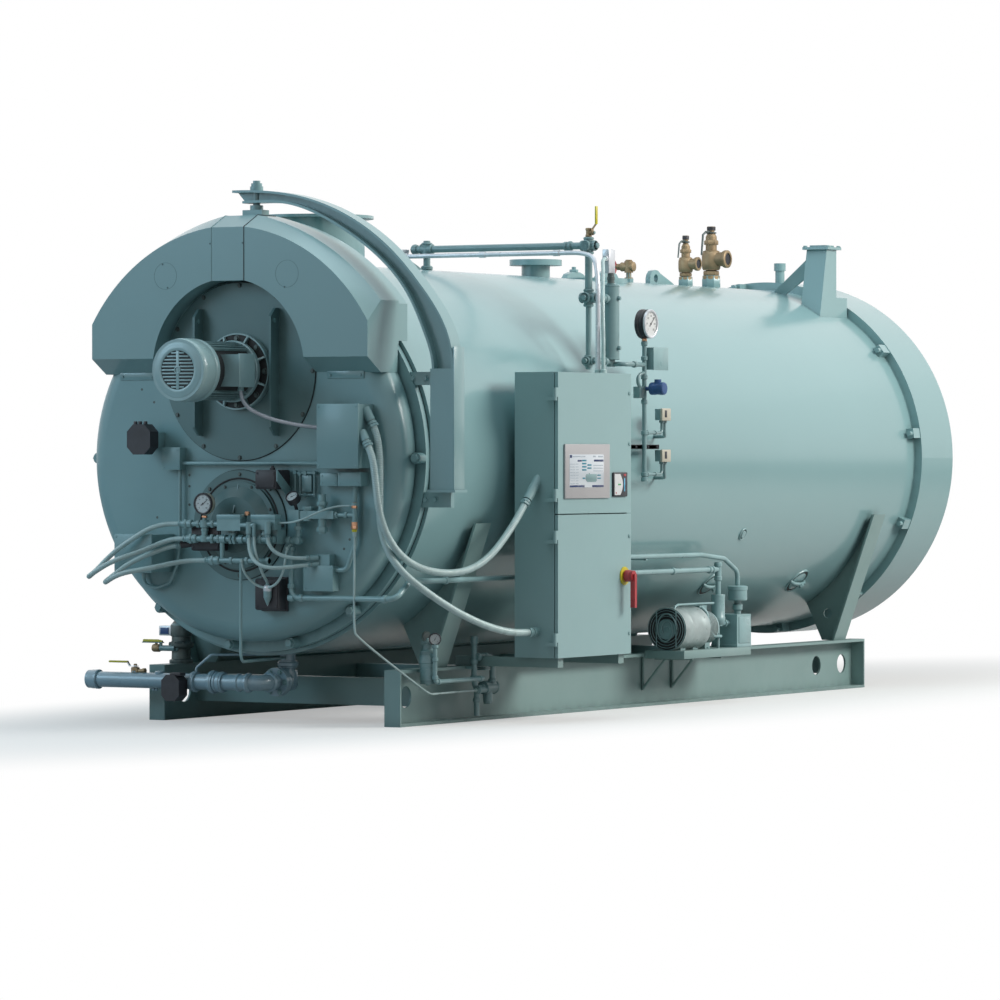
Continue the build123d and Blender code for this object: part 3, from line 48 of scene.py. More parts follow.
SHELL_Z = 1441.5
SHELL_R = 1068
SHELL_TOP = SHELL_Z + SHELL_R
FAN_Z = 1907.0
BURNER_Z = 1083
HEAD_Y = -320
HOOD_Y = -448
BURNER_Y = -500
PILOT_Y = -385
LINK_Y = -348
DOOR_X = 1384
DISPLAY_X = 1396
HANDLE = (DOOR_X, 1437, 790)
COLUMN_X, HEADER_Y, HEADER_Z = 1075, 1585, 2628
HEADER = (COLUMN_X, HEADER_Y)
COLUMN = (COLUMN_X, 1841)
MANIFOLD = (1160, 2078)
GAS_Y, GAS_Z = -150, 225
GAS_LINE = (GAS_Y, GAS_Z)
REGULATOR = (-759, 240)
IGNITER = (760, PILOT_Y)
PLUG = (244, -432.3)
VENT_Y = 4000
AIR_X, AIR_Z = 950, 449
SEPARATOR = (1008, 3258)
FILTER = (860, 200)
RISER = (918, 180)
DRAIN = (856, 700)


def put(name, data):
    thing = bpy.data.objects.new(name, data)
    bpy.context.scene.collection.objects.link(thing)
    return thing


# Materials: every one varies in colour, gloss and surface height; most have painted shade in their corners

# Reach and darkness of the painted shade in corners, and the colour of dust on upward faces
CORNER_SHADE_REACH = 0.07
CORNER_SHADE_TONE = 0.22
DUST_COLOUR = (0.62, 0.63, 0.6)


def feed(node, inputs, **settings):
    """Set a node up; each input, by name or place, is a value or another node's output."""
    for key, value in settings.items():
        setattr(node, key, value)
    for place, value in inputs.items():
        if isinstance(value, bpy.types.NodeSocket):
            node.id_data.links.new(value, node.inputs[place])
        else:
            node.inputs[place].default_value = value
    return node


def add(tree, kind, inputs, **settings):
    return feed(tree.nodes.new("ShaderNode" + kind), inputs, **settings)


def material(
    name, colour, rough=0.4, metal=0.0, vary=0.07, scale=2.5, rough_vary=0.08, bump=0.1, bump_scale=260.0,
    coat=0.0, corner_shade=0.0, dust=0.0,
):
    mat = bpy.data.materials.new(name)
    mat.use_nodes = True
    tree = mat.node_tree
    place = add(tree, "TexCoord", {}).outputs["Object"]

    def noise(size, detail=5.0):
        return add(tree, "TexNoise", {"Vector": place, "Scale": size, "Detail": detail}).outputs["Fac"]

    def span(value, low, high, to_low, to_high):
        return add(tree, "MapRange", {0: value, 1: low, 2: high, 3: to_low, 4: to_high}).outputs[0]

    def tint(under, amount, patches, over):
        cover = add(tree, "Math", {0: amount, 1: patches}, operation="MULTIPLY").outputs[0]
        return add(tree, "Mix", {0: cover, 6: under, 7: (*over, 1)}, data_type="RGBA").outputs[2]

    ramp = add(tree, "ValToRGB", {0: noise(scale)})
    for stop, position, shift in zip(ramp.color_ramp.elements, (0.3, 0.7), (-vary, vary)):
        stop.position = position
        stop.color = (*[min(c * (1 + shift), 1) for c in colour], 1)
    paint = ramp.outputs[0]
    # Painted shade: the colour darkens in corners and crevices by ambient occlusion, broken into patches
    if corner_shade:
        corner = add(tree, "AmbientOcclusion", {"Distance": CORNER_SHADE_REACH}, samples=6).outputs["AO"]
        patches = span(noise(14.0), 0.35, 0.6, 0.45, 1.0)
        paint = tint(paint, span(corner, 0.25, 0.9, corner_shade, 0.0), patches, [c * CORNER_SHADE_TONE for c in colour])
    if dust:
        normal = add(tree, "NewGeometry", {}).outputs["Normal"]
        upward = add(tree, "SeparateXYZ", {0: normal}).outputs["Z"]
        patches = span(noise(7.0), 0.35, 0.65, 0.3, 1.0)
        paint = tint(paint, span(upward, 0.6, 1.0, 0.0, dust), patches, DUST_COLOUR)
    relief = add(tree, "Bump", {"Strength": bump, "Distance": 0.001, "Height": noise(bump_scale, 3.0)})
    feed(tree.nodes["Principled BSDF"], {
        "Base Color": paint, "Metallic": metal, "Coat Weight": coat, "Coat Roughness": 0.12,
        "Roughness": span(noise(9.0, 8.0), 0.3, 0.7, rough - rough_vary, rough + rough_vary),
        "Normal": relief.outputs["Normal"],
    })
    return mat


BODY = material(
    "body_enamel", (0.275, 0.445, 0.452), 0.24, vary=0.02, scale=0.9, rough_vary=0.02, bump=0.8, bump_scale=4.0,
    coat=0.22, corner_shade=0.45,
)
HEAD = material(
    "head_enamel", (0.275, 0.445, 0.455), 0.36, vary=0.04, scale=2.0, rough_vary=0.05, bump=0.05, coat=0.15,
    corner_shade=0.6,
)
# Darker copy of the head enamel for the fan and burner plates: painted shade of the hood's overhang
FAN_SHADED = material(
    "fan_plate_shaded_enamel", (0.14, 0.235, 0.235), 0.38, vary=0.05, scale=2.0, rough_vary=0.05, bump=0.05, corner_shade=0.6,
)
# Lighter, bluer copy of the body enamel: painted light and highlight on the gas pipe
GAS_LIT = material("gas_pipe_lit_enamel", (0.37, 0.52, 0.59), 0.26, vary=0.06, scale=6.0, bump=0.05, coat=0.4, corner_shade=0.5)
PIPE = material("pipe_enamel", (0.215, 0.345, 0.35), 0.34, vary=0.09, scale=9.0, coat=0.2, corner_shade=0.6)
SKID = material("skid_enamel", (0.25, 0.37, 0.355), 0.4, vary=0.06, scale=2.0, bump=0.06, corner_shade=0.55, dust=0.08)
SMALL = material("fitting_enamel", (0.29, 0.455, 0.46), 0.34, vary=0.08, scale=12.0, coat=0.2, corner_shade=0.6)
CABINET = material(
    "cabinet_enamel", (0.33, 0.495, 0.495), 0.4, vary=0.025, scale=1.6, bump=0.1, bump_scale=420, corner_shade=0.4,
)
FLEX = material("conduit_jacket", (0.52, 0.66, 0.64), 0.3, vary=0.08, scale=18.0, coat=0.25, corner_shade=0.35)
ALLOY = material("bright_alloy", (0.7, 0.71, 0.74), 0.3, 0.25, vary=0.08, scale=22.0, coat=0.3, corner_shade=0.3)
SHROUD = material("shroud_plate", (0.4, 0.47, 0.46), 0.34, 0.3, vary=0.12, scale=14.0, rough_vary=0.1, corner_shade=0.5)
ARMOUR = material("conduit_armour", (0.4, 0.42, 0.46), 0.36, 0.4, vary=0.12, scale=20.0, corner_shade=0.6)
SEAM = material("seam_shade", (0.1, 0.165, 0.17), 0.5, vary=0.1, scale=20.0)
STEEL = material("bright_steel", (0.62, 0.63, 0.65), 0.27, 1.0, vary=0.1, scale=22.0, rough_vary=0.1, corner_shade=0.5)
ZINC = material("zinc_plate", (0.6, 0.63, 0.66), 0.38, 0.55, vary=0.12, scale=16.0, rough_vary=0.1, corner_shade=0.35)
DARK_STEEL = material("dark_fastener", (0.095, 0.12, 0.115), 0.48, 0.35, vary=0.3, scale=30.0, corner_shade=0.3)
BRONZE = material(
    "cast_bronze", (0.36, 0.255, 0.145), 0.5, 0.4, vary=0.22, scale=14.0, bump=0.35, bump_scale=150, corner_shade=0.6,
)
COPPER = material("copper_fitting", (0.62, 0.33, 0.2), 0.34, 0.8, vary=0.15, scale=30.0, corner_shade=0.5)
BLACK = material(
    "black_cast", (0.022, 0.022, 0.028), 0.5, vary=0.25, scale=20.0, bump=0.3, bump_scale=320, dust=0.06,
)
GAP = material("shadow_gap", (0.012, 0.014, 0.015), 0.7, vary=0.2, scale=20.0)
RED = material("red_enamel", (0.5, 0.028, 0.035), 0.33, vary=0.1, scale=12.0, coat=0.3, corner_shade=0.4)
YELLOW = material("yellow_vinyl", (0.72, 0.6, 0.03), 0.42, vary=0.08, scale=22.0, corner_shade=0.35)
BLUE = material("blue_enamel", (0.02, 0.085, 0.25), 0.36, vary=0.1, scale=16.0, coat=0.1, corner_shade=0.4)
PANEL = material("panel_plastic", (0.5, 0.475, 0.475), 0.45, vary=0.03, scale=5.0, bump=0.15, bump_scale=500)
WHITE = material("dial_white", (0.8, 0.8, 0.78), 0.3, vary=0.03, scale=30.0, coat=0.5)
CREAM = material("cream_case", (0.6, 0.55, 0.44), 0.4, vary=0.06, scale=20.0, corner_shade=0.3)
INK = material("dial_ink", (0.015, 0.017, 0.022), 0.4, vary=0.2, scale=60.0)
SCREEN = material("screen_white", (0.72, 0.76, 0.8), 0.14, vary=0.02, scale=6.0, bump=0.0, coat=0.4)
NAVY = material("screen_navy", (0.012, 0.03, 0.12), 0.3, vary=0.08, scale=30.0, bump=0.0)
TEAL = material("screen_teal", (0.01, 0.22, 0.31), 0.3, vary=0.08, scale=30.0, bump=0.0)
PALE = material("screen_grey", (0.48, 0.54, 0.6), 0.16, vary=0.06, scale=30.0, bump=0.0, coat=0.4)
CYAN = material("lamp_cyan", (0.12, 0.5, 0.75), 0.2, vary=0.05, scale=30.0, bump=0.0, coat=0.4)
GREEN = material("lamp_green", (0.05, 0.4, 0.12), 0.2, vary=0.05, scale=30.0, bump=0.0, coat=0.4)
MOTOR = material("motor_enamel", (0.4, 0.56, 0.56), 0.33, vary=0.06, scale=8.0, coat=0.3, corner_shade=0.6)

NODE_LOOKS = {
    BODY: (
        "shell_jacket", "rear_ring", "rear_door", "air_hood", "davit_arm", "davit_post", "rear_davit",
        "lifting_lugs", "manway", "flue_outlet", "steam_nozzle", "shell_ports", "end_clamps",
    ),
    HEAD: ("front_head", "front_flange", "front_boxes"),
    FAN_SHADED: ("fan_plate", "burner_plate"),
    GAS_LIT: ("gas_train",),
    SKID: ("skid_rails", "cross_members", "saddles", "cabinet_brackets", "compressor_shelf"),
    PIPE: ("water_column", "instrument_manifold", "skid_fittings", "gas_regulator"),
    SMALL: (
        "air_lines", "burner_piping", "pilot_train", "front_conduits", "actuator_brackets", "valve_heads",
        "compressor",
    ),
    CABINET: ("cabinet_case", "cabinet_upper_door", "cabinet_lower_door"),
    MOTOR: ("fan_motor",),
    BRONZE: ("safety_valves", "vent_valve"),
    RED: ("vent_handwheel", "disconnect_handle"),
    YELLOW: ("column_lever", "gas_lever"),
    BLUE: ("transmitter",),
    PANEL: ("hmi_panel",),
    BLACK: ("actuators", "gauges"),
    ZINC: ("instrument_boxes",),
    FLEX: (
        "hose_upper", "hose_lower", "conduit_upper", "conduit_lower", "valve_tube_one", "valve_tube_two",
        "ignition_cable", "plug_tube", "motor_conduit",
    ),
}
for look, names in NODE_LOOKS.items():
    for name in names:
        nodes[name].data.materials.clear()
        nodes[name].data.materials.append(look)

# Mesh building, in millimetres until a piece is finished


def basis(axis):
    w = Vector(axis).normalized()
    u = w.cross(Z if abs(w.z) < 0.9 else X).normalized()
    return u, w.cross(u), w


class Build:
    def __init__(self):
        self.bm = bmesh.new()

    def rings(self, loops, closed=False):
        """Skin between loops of points; a loop of one point is a pole."""
        made = [[self.bm.verts.new(p) for p in loop] for loop in loops]
        pairs = list(zip(made, made[1:]))
        if closed:
            pairs.append((made[-1], made[0]))
        for a, b in pairs:
            n = max(len(a), len(b))
            for i in range(n):
                j = (i + 1) % n
                if len(a) == 1:
                    self.bm.faces.new((a[0], b[j], b[i]))
                elif len(b) == 1:
                    self.bm.faces.new((a[i], a[j], b[0]))
                else:
                    self.bm.faces.new((a[i], a[j], b[j], b[i]))
        if not closed:
            if len(made[0]) > 2:
                self.bm.faces.new(made[0][::-1])
            if len(made[-1]) > 2:
                self.bm.faces.new(made[-1])
        return self

    def lathe(self, at, axis, profile, sides=32, closed=False):
        """Solid of revolution; the profile is radius and height along the axis."""
        u, v, w = basis(axis)
        at = Vector(at)
        loops = []
        for r, h in profile:
            turn = [at + w * h] if r < 1e-6 else [
                at + w * h + (u * math.cos(TAU * i / sides) + v * math.sin(TAU * i / sides)) * r
                for i in range(sides)
            ]
            loops.append(turn)
        return self.rings(loops, closed)

    def tube(self, points, radius, sides=12):
        """Round tube through points; the radius is a number or one number for each point."""
        points = [Vector(p) for p in points]
        radii = radius if hasattr(radius, "__len__") else [radius] * len(points)
        loops = []
        across = None
        for i, p in enumerate(points):
            along = (points[min(i + 1, len(points) - 1)] - points[max(i - 1, 0)]).normalized()
            if across is None:
                across = basis(along)[0]
            across = (across - along * across.dot(along)).normalized()
            other = along.cross(across)
            loops.append([
                p + (across * math.cos(TAU * k / sides) + other * math.sin(TAU * k / sides)) * radii[i]
                for k in range(sides)
            ])
        return self.rings(loops)

    def bend(self, points, fine, radius, sides=12):
        """Round tube on the smooth line of a route."""
        return self.tube(route_line(points, fine), radius, sides)

    def box(self, x0, x1, y0, y1, z0, z1, edge):
        """Block with its edges rounded."""
        cube = bmesh.ops.create_cube(self.bm, size=1.0)["verts"]
        size = Vector((x1 - x0, y1 - y0, z1 - z0))
        middle = Vector((x0 + x1, y0 + y1, z0 + z1)) / 2
        for v in cube:
            v.co = middle + Vector(a * b for a, b in zip(v.co, size))
        edges = list(dict.fromkeys(e for v in cube for e in v.link_edges))
        width = min(edge, min(size) * 0.4)
        bmesh.ops.bevel(self.bm, geom=edges, offset=width, segments=2, profile=0.5, affect="EDGES")
        return self

    def plate(self, outline, shift):
        """Flat outline of points pushed along a vector."""
        shift = Vector(shift)
        return self.rings([[Vector(p) for p in outline], [Vector(p) + shift for p in outline]])

    def nut(self, at, axis, across, height, collar=0.0):
        r = across / math.sqrt(3)
        self.lathe(at, axis, [(r * 0.97, 0), (r, height * 0.12), (r, height * 0.82), (r * 0.9, height)], 6)
        if collar:
            self.lathe(at, axis, [(collar, 0), (collar, height * 0.14), (collar * 0.96, height * 0.2)], 20)
        return self

    def bolt(self, at, axis, across, height):
        return self.nut(at, axis, across, height, across * 0.78)

    def bead(self, at, axis, radius, width):
        """Rounded collar of a pipe fitting."""
        h = width / 2
        e = min(width * 0.3, radius * 0.2)
        profile = [(radius - e, -h), (radius, e - h), (radius, h - e), (radius - e, h)]
        return self.lathe(at, axis, profile, 24)

    def done(self, name, look, body="boiler", slot=None, smooth=40):
        """Finish the piece in metres; the slot argument is not used."""
        bmesh.ops.scale(self.bm, vec=(MM, MM, MM), verts=self.bm.verts)
        bmesh.ops.recalc_face_normals(self.bm, faces=self.bm.faces)
        mesh = bpy.data.meshes.new(name)
        self.bm.to_mesh(mesh)
        self.bm.free()
        mesh.materials.append(look)
        for face in mesh.polygons:
            face.use_smooth = True
        mesh.set_sharp_from_angle(angle=math.radians(smooth))
        piece = put(name, mesh)
        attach(piece, body)
        return piece


def spot(centre, axis, radius, angle):
    u, v, _ = basis(axis)
    turn = math.radians(angle)
    return Vector(centre) + (u * math.cos(turn) + v * math.sin(turn)) * radius


def circle(centre, axis, radius, count, start=0.0):
    return [spot(centre, axis, radius, start + 360 / count * i) for i in range(count)]


def spoke(angle):
    """Directions outwards and round, in the plane across the shell."""
    a, b = math.cos(angle), math.sin(angle)
    return Vector((a, 0, b)), Vector((-b, 0, a))


def corners(x0, x1, z0, z1, inset):
    return [(x, z) for x in (x0 + inset, x1 - inset) for z in (z0 + inset, z1 - inset)]


# Hoses and conduits, each on the line of its own route


def flatten(curve):
    """Points and faces that a curve gives as a mesh; the curve is removed."""
    holder = put("curve", curve)
    mesh = bpy.data.meshes.new_from_object(holder)
    points = [v.co.copy() for v in mesh.vertices]
    faces = [list(face.vertices) for face in mesh.polygons]
    bpy.data.objects.remove(holder)
    bpy.data.curves.remove(curve)
    bpy.data.meshes.remove(mesh)
    return points, faces


def route_line(points, fine):
    curve = bpy.data.curves.new("route", "CURVE")
    curve.dimensions = "3D"
    spline = curve.splines.new("NURBS")
    spline.points.add(len(points) - 1)
    for knot, p in zip(spline.points, points):
        knot.co = (p[0] * MM, p[1] * MM, p[2] * MM, 1)
    spline.order_u = 3
    spline.use_endpoint_u = True
    spline.resolution_u = fine
    return [p / MM for p in flatten(curve)[0]]


def run_length(line):
    return sum((b - a).length for a, b in zip(line, line[1:]))


def cord(name, points, diameter, look, pitch, depth):
    """Cord with ribs of a pitch and depth; a smooth one has no depth."""
    step = pitch / 6 if depth else 6
    fine = max(8, round(run_length([Vector(p) for p in points]) / len(points) / step))
    line = route_line(points, fine)
    radii = []
    gone = 0.0
    for i, p in enumerate(line):
        if i:
            gone += (p - line[i - 1]).length
        radii.append(diameter / 2 - depth * (0.5 - 0.5 * math.cos(TAU * gone / pitch)))
    piece = Build().tube(line, radii, 16).done(name + "_run", look, smooth=75)
    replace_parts(piece, name)
    return line


ROUTES = {
    "hose_upper": [
        (-250, -500, 1089), (-310, -500, 1089), (-370, -518, 1086), (-441, -556, 1061), (-523, -584, 1007),
        (-612, -598, 950), (-678, -608, 894), (-716, -624, 850), (-734, -654, 820), (-730, -692, 805),
        (-708, -728, 806), (-670, -754, 820), (-622, -768, 843), (-566, -768, 872), (-510, -745, 900),
        (-468, -700, 920), (-436, -645, 938), (-404, -588, 962), (-366, -536, 988), (-318, -506, 1006),
        (-268, -500, 1010), (-220, -500, 1010),
    ],
    "hose_lower": [
        (-285, -473, 975), (-336, -501.8, 966), (-385, -540, 944), (-432, -583, 920), (-490, -610, 891),
        (-543, -625, 860), (-588, -641, 824), (-614, -666, 797), (-614, -702, 780), (-594, -738, 776),
        (-560, -768, 784), (-516, -787, 802), (-468, -793, 820), (-416, -784, 834), (-362, -752, 845),
        (-318, -702, 856), (-287, -643, 868), (-260, -588, 879), (-224, -540, 888), (-176, -508, 894),
        (-126, -500, 895), (-80, -500, 895),
    ],
    "conduit_upper": [
        (862, -435, 1533), (890, -440, 1487), (916, -447, 1420), (930, -447, 1320), (937, -438, 1210),
        (946, -414, 1110), (968, -378, 1015), (998, -308, 927), (1036, -210, 867), (1078, -100, 836),
        (1122, 45, 827), (1158, 178, 851), (1187, 306, 914), (1210, 421, 1010), (1229, 528, 1120),
        (1240, 612, 1216),
    ],
    "conduit_lower": [
        (866, -390, 1640), (892, -388, 1590), (909, -385, 1520), (917, -384, 1430), (920, -388, 1320),
        (918, -388, 1210), (911, -370, 1100), (916, -342, 1000), (962, -336, 908), (1028, -304, 821),
        (1092, -210, 738), (1150, -70, 652), (1185, 90, 587), (1215, 255, 536), (1236, 420, 506),
        (1244, 555, 498), (1247, 650, 499),
    ],
    "motor_conduit": [
        (190, -610, 1822), (190, -610, 1780), (202, -603, 1741), (228, -590, 1706), (272, -568, 1677),
        (330, -530, 1650), (404, -482, 1628), (470, -436, 1614), (530, -404, 1605), (581, -404, 1605),
    ],
    "valve_tube_one": [
        (196, -540, 1040), (196, -540, 1003), (204, -550, 965), (224, -566, 928), (254, -577, 895),
        (296, -577, 870), (342, -560, 860), (388, -524, 860), (430, -480, 865), (470, -432, 872),
        (500, -402, 877),
    ],
    "valve_tube_two": [
        (312, -537, 1041), (312, -537, 1012), (318, -534, 984), (334, -526, 956), (360, -512, 934),
        (392, -492, 919), (426, -468, 912), (462, -440, 910), (496, -410, 911),
    ],
    "ignition_cable": [
        (345, -480, 1098), (390, -480, 1098), (440, -476, 1103), (496, -466, 1120), (552, -450, 1148),
        (608, -428, 1172), (656, -402, 1186), (700, -385, 1190), (742, -385, 1190),
    ],
    "plug_tube": [
        (228, -540, 1040), (228, -540, 1004), (233, -543, 968), (243, -544, 930), (254, -540, 892),
        (261, -527, 856), (260, -504, 826), (255, -478, 806), (249, -453, 791), (244, -432.3, 777),
        (244, -432.3, 756),
    ],
}
CORDS = {
    "hose_upper": (28, FLEX, 8.0, 1.3),
    "hose_lower": (28, FLEX, 8.0, 1.3),
    "conduit_upper": (40, FLEX, 9.0, 1.3),
    "conduit_lower": (40, FLEX, 9.0, 1.3),
    "motor_conduit": (24, ARMOUR, 7.0, 1.8),
    "valve_tube_one": (22, FLEX, 7.0, 0.9),
    "valve_tube_two": (22, FLEX, 7.0, 0.9),
    "ignition_cable": (11, FLEX, 9.0, 0.0),
    "plug_tube": (16, FLEX, 9.0, 0.0),
}
fittings = Build()
for name, (diameter, look, pitch, depth) in CORDS.items():
    line = cord(name, ROUTES[name], diameter, look, pitch, depth)
    for end, beyond in ((line[0], line[4]), (line[-1], line[-5])):
        along = (beyond - end).normalized()
        r = diameter / 2
        fittings.bead(end + along * r * 0.7, along, r * 1.28, r * 1.1)
        fittings.nut(end + along * r * 1.2, along, r * 2.5, r * 0.7)
fittings.done("conduit_fittings", SMALL)


# Fan motor: slotted cover, fins, adapter webs and terminal box lid

axle = (0, 0, FAN_Z)
cover = Build()
cover.lathe(axle, Y, [
    (150, -772), (167, -772), (168.5, -776), (168.5, -800), (167, -802), (167, -806), (168.5, -808), (168.5, -892),
    (166, -906), (159, -918), (147, -926), (135, -929), (126, -929.5), (122, -931), (108, -931), (104, -929),
    (103, -924.5),
], 72)
for k in range(-5, 6):
    z = k * 18.0
    half = math.sqrt(103 ** 2 - (abs(z) + 5) ** 2)
    cover.box(-half, half, -929, -924, FAN_Z + z - 4.2, FAN_Z + z + 4.2, 1.5)
cover.box(-9, 9, -929.5, -924, FAN_Z - 102, FAN_Z + 102, 1.5)
cover.lathe(axle, Y, [(14, -924), (14, -932), (17, -933), (20, -932), (20, -924)], 28)
cover.done("motor_cover", MOTOR)
Build().lathe(axle, Y, [(0, -925.6), (104, -925.6), (104, -925.1)], 60).done("motor_cover_dark", GAP)
fins = Build()
for i in range(44):
    out, side = spoke(TAU * i / 44)
    if out.x > 0.72:
        continue
    foot = Vector(axle) + out * 138
    tip = Vector(axle) + out * 158
    outline = [foot - side * 2.6, foot + side * 2.6, tip + side * 1.7, tip - side * 1.7]
    fins.plate([p + Y * -768 for p in outline], Y * 362)
fins.lathe(axle, Y, [(138, -412), (162, -412), (166, -408), (166, -384), (150, -376), (146, -355)], 60)
for i in range(8):
    out, side = spoke(TAU * (i + 0.5) / 8)
    side *= 5
    base = Vector(axle) + out * 140 - side
    rim = Vector(axle) + out * 200 - side
    fins.plate([base + Y * -400, rim + Y * -372, rim + Y * -354, base + Y * -354], side * 2)
fins.lathe(axle, Y, [(198, -355), (206, -355), (206, -362), (198, -362)], 60, closed=True)
fins.box(228, 238, -694, -544, FAN_Z - 89, FAN_Z + 89, 3)
fins.done("motor_fins", MOTOR)
adapter = Build()
adapter.lathe(axle, Y, [(140, -358), (199, -358), (199, -355.2)], 60)
adapter.lathe(axle, Y, [(141.5, -770), (141.5, -413)], 60)
adapter.done("motor_adapter_dark", GAP)

# Dark bolts of the front end with dark discs of painted hole shade, a gasket line and painted shadow lines at ring
# edges, and hood rings

dark = Build()
for y, z, radius, count, start, across, height in (
    (-329, FAN_Z, 463, 12, 0, 17, 9), (-358, FAN_Z, 178, 8, 0, 22, 12),
    (-330, BURNER_Z, 272, 8, 0, 15, 8), (-344, BURNER_Z, 220, 8, 22.5, 12, 7),
):
    for p in circle((0, y, z), Y, radius, count, start):
        dark.bolt(p, -Y, across, height)
# Small dark discs on the head: painted shade standing for holes
for x, z in (
    (-640, 1815), (-560, 1745), (-330, 1350), (-330, 1290), (-330, 1190), (-540, 1120), (300, 1740), (655, 960),
    (690, 1010),
):
    dark.lathe((x, HEAD_Y, z), -Y, [(7, 0), (7, 1.2), (4, 1.6), (0, 1.6)], 16)
dark.done("front_fasteners_and_hole_shade", DARK_STEEL)
gasket_and_edge_shadow = Build()
# A black gasket ring round the burner, and two thin rings of painted shadow at the edges of the fan plate and the
# burner ring
gasket_and_edge_shadow.lathe((0, -330, BURNER_Z), -Y, [(246, 0), (254, 0), (255, 2), (250, 4), (245, 2)], 96, closed=True)
gasket_and_edge_shadow.lathe((0, HEAD_Y, FAN_Z), -Y, [(478, 0), (482, 0), (482, 3), (478, 3)], 96, closed=True)
gasket_and_edge_shadow.lathe((0, HEAD_Y, BURNER_Z), -Y, [(295, 0), (298, 0), (298, 2), (295, 2)], 96, closed=True)
faint = Build()
for x, z in ((377, 2423), (-400, 2423)):
    faint.lathe((x, HOOD_Y, z), -Y, [(71.4, -0.5), (72.6, -0.5), (72.6, 0.6), (71.4, 0.6)], 72, closed=True)
for x, z in ((-112, 2592), (96, 2592), (362, 2352), (-418, 2486), (-386, 2360)):
    faint.lathe((x, HOOD_Y, z), -Y, [(5, 0), (5, 1.5), (0, 2)], 12)
faint.done("hood_rings", SEAM)
gasket_and_edge_shadow.done("gasket_and_edge_shadow_lines", GAP)

# Hood seams, fixing tabs and plugs

path = [(-449, 2392), (-449, 2680), (-313.5, 2747), (-132, 2747)]
seams = Build()
seams.tube([(104, y, z) for y, z in path], 2.2, 6)
seams.tube([(104, -133, 2733), (104, -20, 2733)], 2.0, 6)
seams.done("hood_seam", GAP)
covers = Build()
covers.tube([(-104, y, z) for y, z in path], 1.6, 6)
for s in (1, -1):
    covers.box(s * 667 - 114, s * 667 + 114, -326, -319.5, 1866, 1908, 1.5)
    for x in (s * 667 - 95, s * 667 + 95):
        covers.bolt((x, -326, 1884), -Y, 12, 6)
for x in (-237, 251):
    covers.lathe((x, -372, 2178), X, [(13, 0), (13, 1.6), (9, 2.4), (0, 2.4)], 20)
covers.done("hood_covers", BODY)

# Front boxes: lids, lips and screws

lids = Build()
for x0, x1, y, z0, z1 in (
    (581, 836, -470, 1389, 1727), (-465, -353, -380, 1380, 1498), (-667, -428, -540, 826, 1030),
    (440, 622, -380, 736, 870), (546, 648, -380, 1296, 1360), (665, 805, -395, 1296, 1367),
):
    lids.box(x0 - 2, x1 + 2, y - 4, y + 10, z0 - 2, z1 + 2, 2.5)
    for x, z in corners(x0, x1, z0, z1, 12):
        lids.lathe((x, y - 4, z), -Y, [(5, 0), (5, 1.4), (3.5, 2.2), (0, 2.2)], 14)
for x0, x1, y0, y1, z in ((-2, 146, -550, -486, 1137), (192, 345, -516, -460, 1137)):
    lids.box(x0 - 3, x1 + 3, y0 - 3, y1 + 3, z - 22, z + 5, 6)
lids.done("box_lids", HEAD)

# Unions, tees and elbows on the burner pipes

unions = Build()
for z, row in (
    (1089, ((-228, 24), (-200, 20), (-150, 19), (-60, 19))),
    (1010, (
        (-196, 26), (-168, 22), (-60, 24), (-20, 22), (60, 26), (84, 26), (170, 22), (244, 22), (292, 24),
    )),
    (895, ((-58, 25), (-24, 21), (60, 19), (160, 19), (292, 19))),
):
    for x, r in row:
        unions.nut((x - 8, BURNER_Y, z), X, r * 2, 16)
unions.bead((-112, BURNER_Y, 1089), Z, 25, 42)
unions.bead((-112, BURNER_Y, 1010), Z, 25, 36)
unions.nut((-112, BURNER_Y, 1052), Z, 36, 14)
for x in (72, 268):
    unions.nut((x, BURNER_Y, 1030), Z, 38, 14)
for x, z, axis, across, height in (
    (558, 1050, Z, 52, 26), (558, 1190, Z, 50, 22), (470, 1166, Z, 60, 18), (700, 1141, X, 30, 16),
    (640, 1141, X, 36, 16), (410, 1060, Z, 42, 20), (342, 1002, X, 42, 20),
):
    unions.nut((x, PILOT_Y, z), axis, across, height)
unions.lathe((410, PILOT_Y, 1002), -Y, [(0, -20), (17, -18), (21, -8), (21, 8), (17, 18), (0, 20)], 24)
for p, axis in (
    ((357, -372, 960), Z), ((357, -372, 760), Z), ((420, -372, 697), X), ((940, -372, 697), X),
    ((1008, 140, 787), Y), ((1008, 2700, 787), Y), ((1008, 3150, 787), Y), ((1008, 3190, 787), Y),
):
    unions.bead(p, axis, 21, 26)
unions.lathe((357, -372, 697), X, [(0, -20), (18, -17), (20, 0), (18, 17), (0, 20)], 20)
unions.done("pipe_unions", SMALL)

brass = Build()
brass.nut((*IGNITER, 1066), Z, 32, 18)
brass.bead((*IGNITER, 1094), Z, 17, 24)
brass.nut((*IGNITER, 1176), Z, 30, 16)
brass.bead((*IGNITER, 1200), Z, 13, 16)
brass.nut((-112, BURNER_Y, 1122), Z, 26, 12)
brass.lathe((160, BURNER_Y, 1136), Z, [(13, 0), (15, 4), (15, 18), (11, 22), (0, 22)], 16)
brass.lathe((*MANIFOLD, 2100), Z, [(12, 0), (15, 4), (15, 14), (11, 20), (11, 28)], 6)
brass.done("copper_fittings", COPPER)
Build().lathe((*IGNITER, 1050), Z, [(10, 0), (14, 3), (14, 14), (10, 18)], 20).done("pilot_collar", YELLOW)

# Thin pilot line from the burner down to the drain valve at the skid

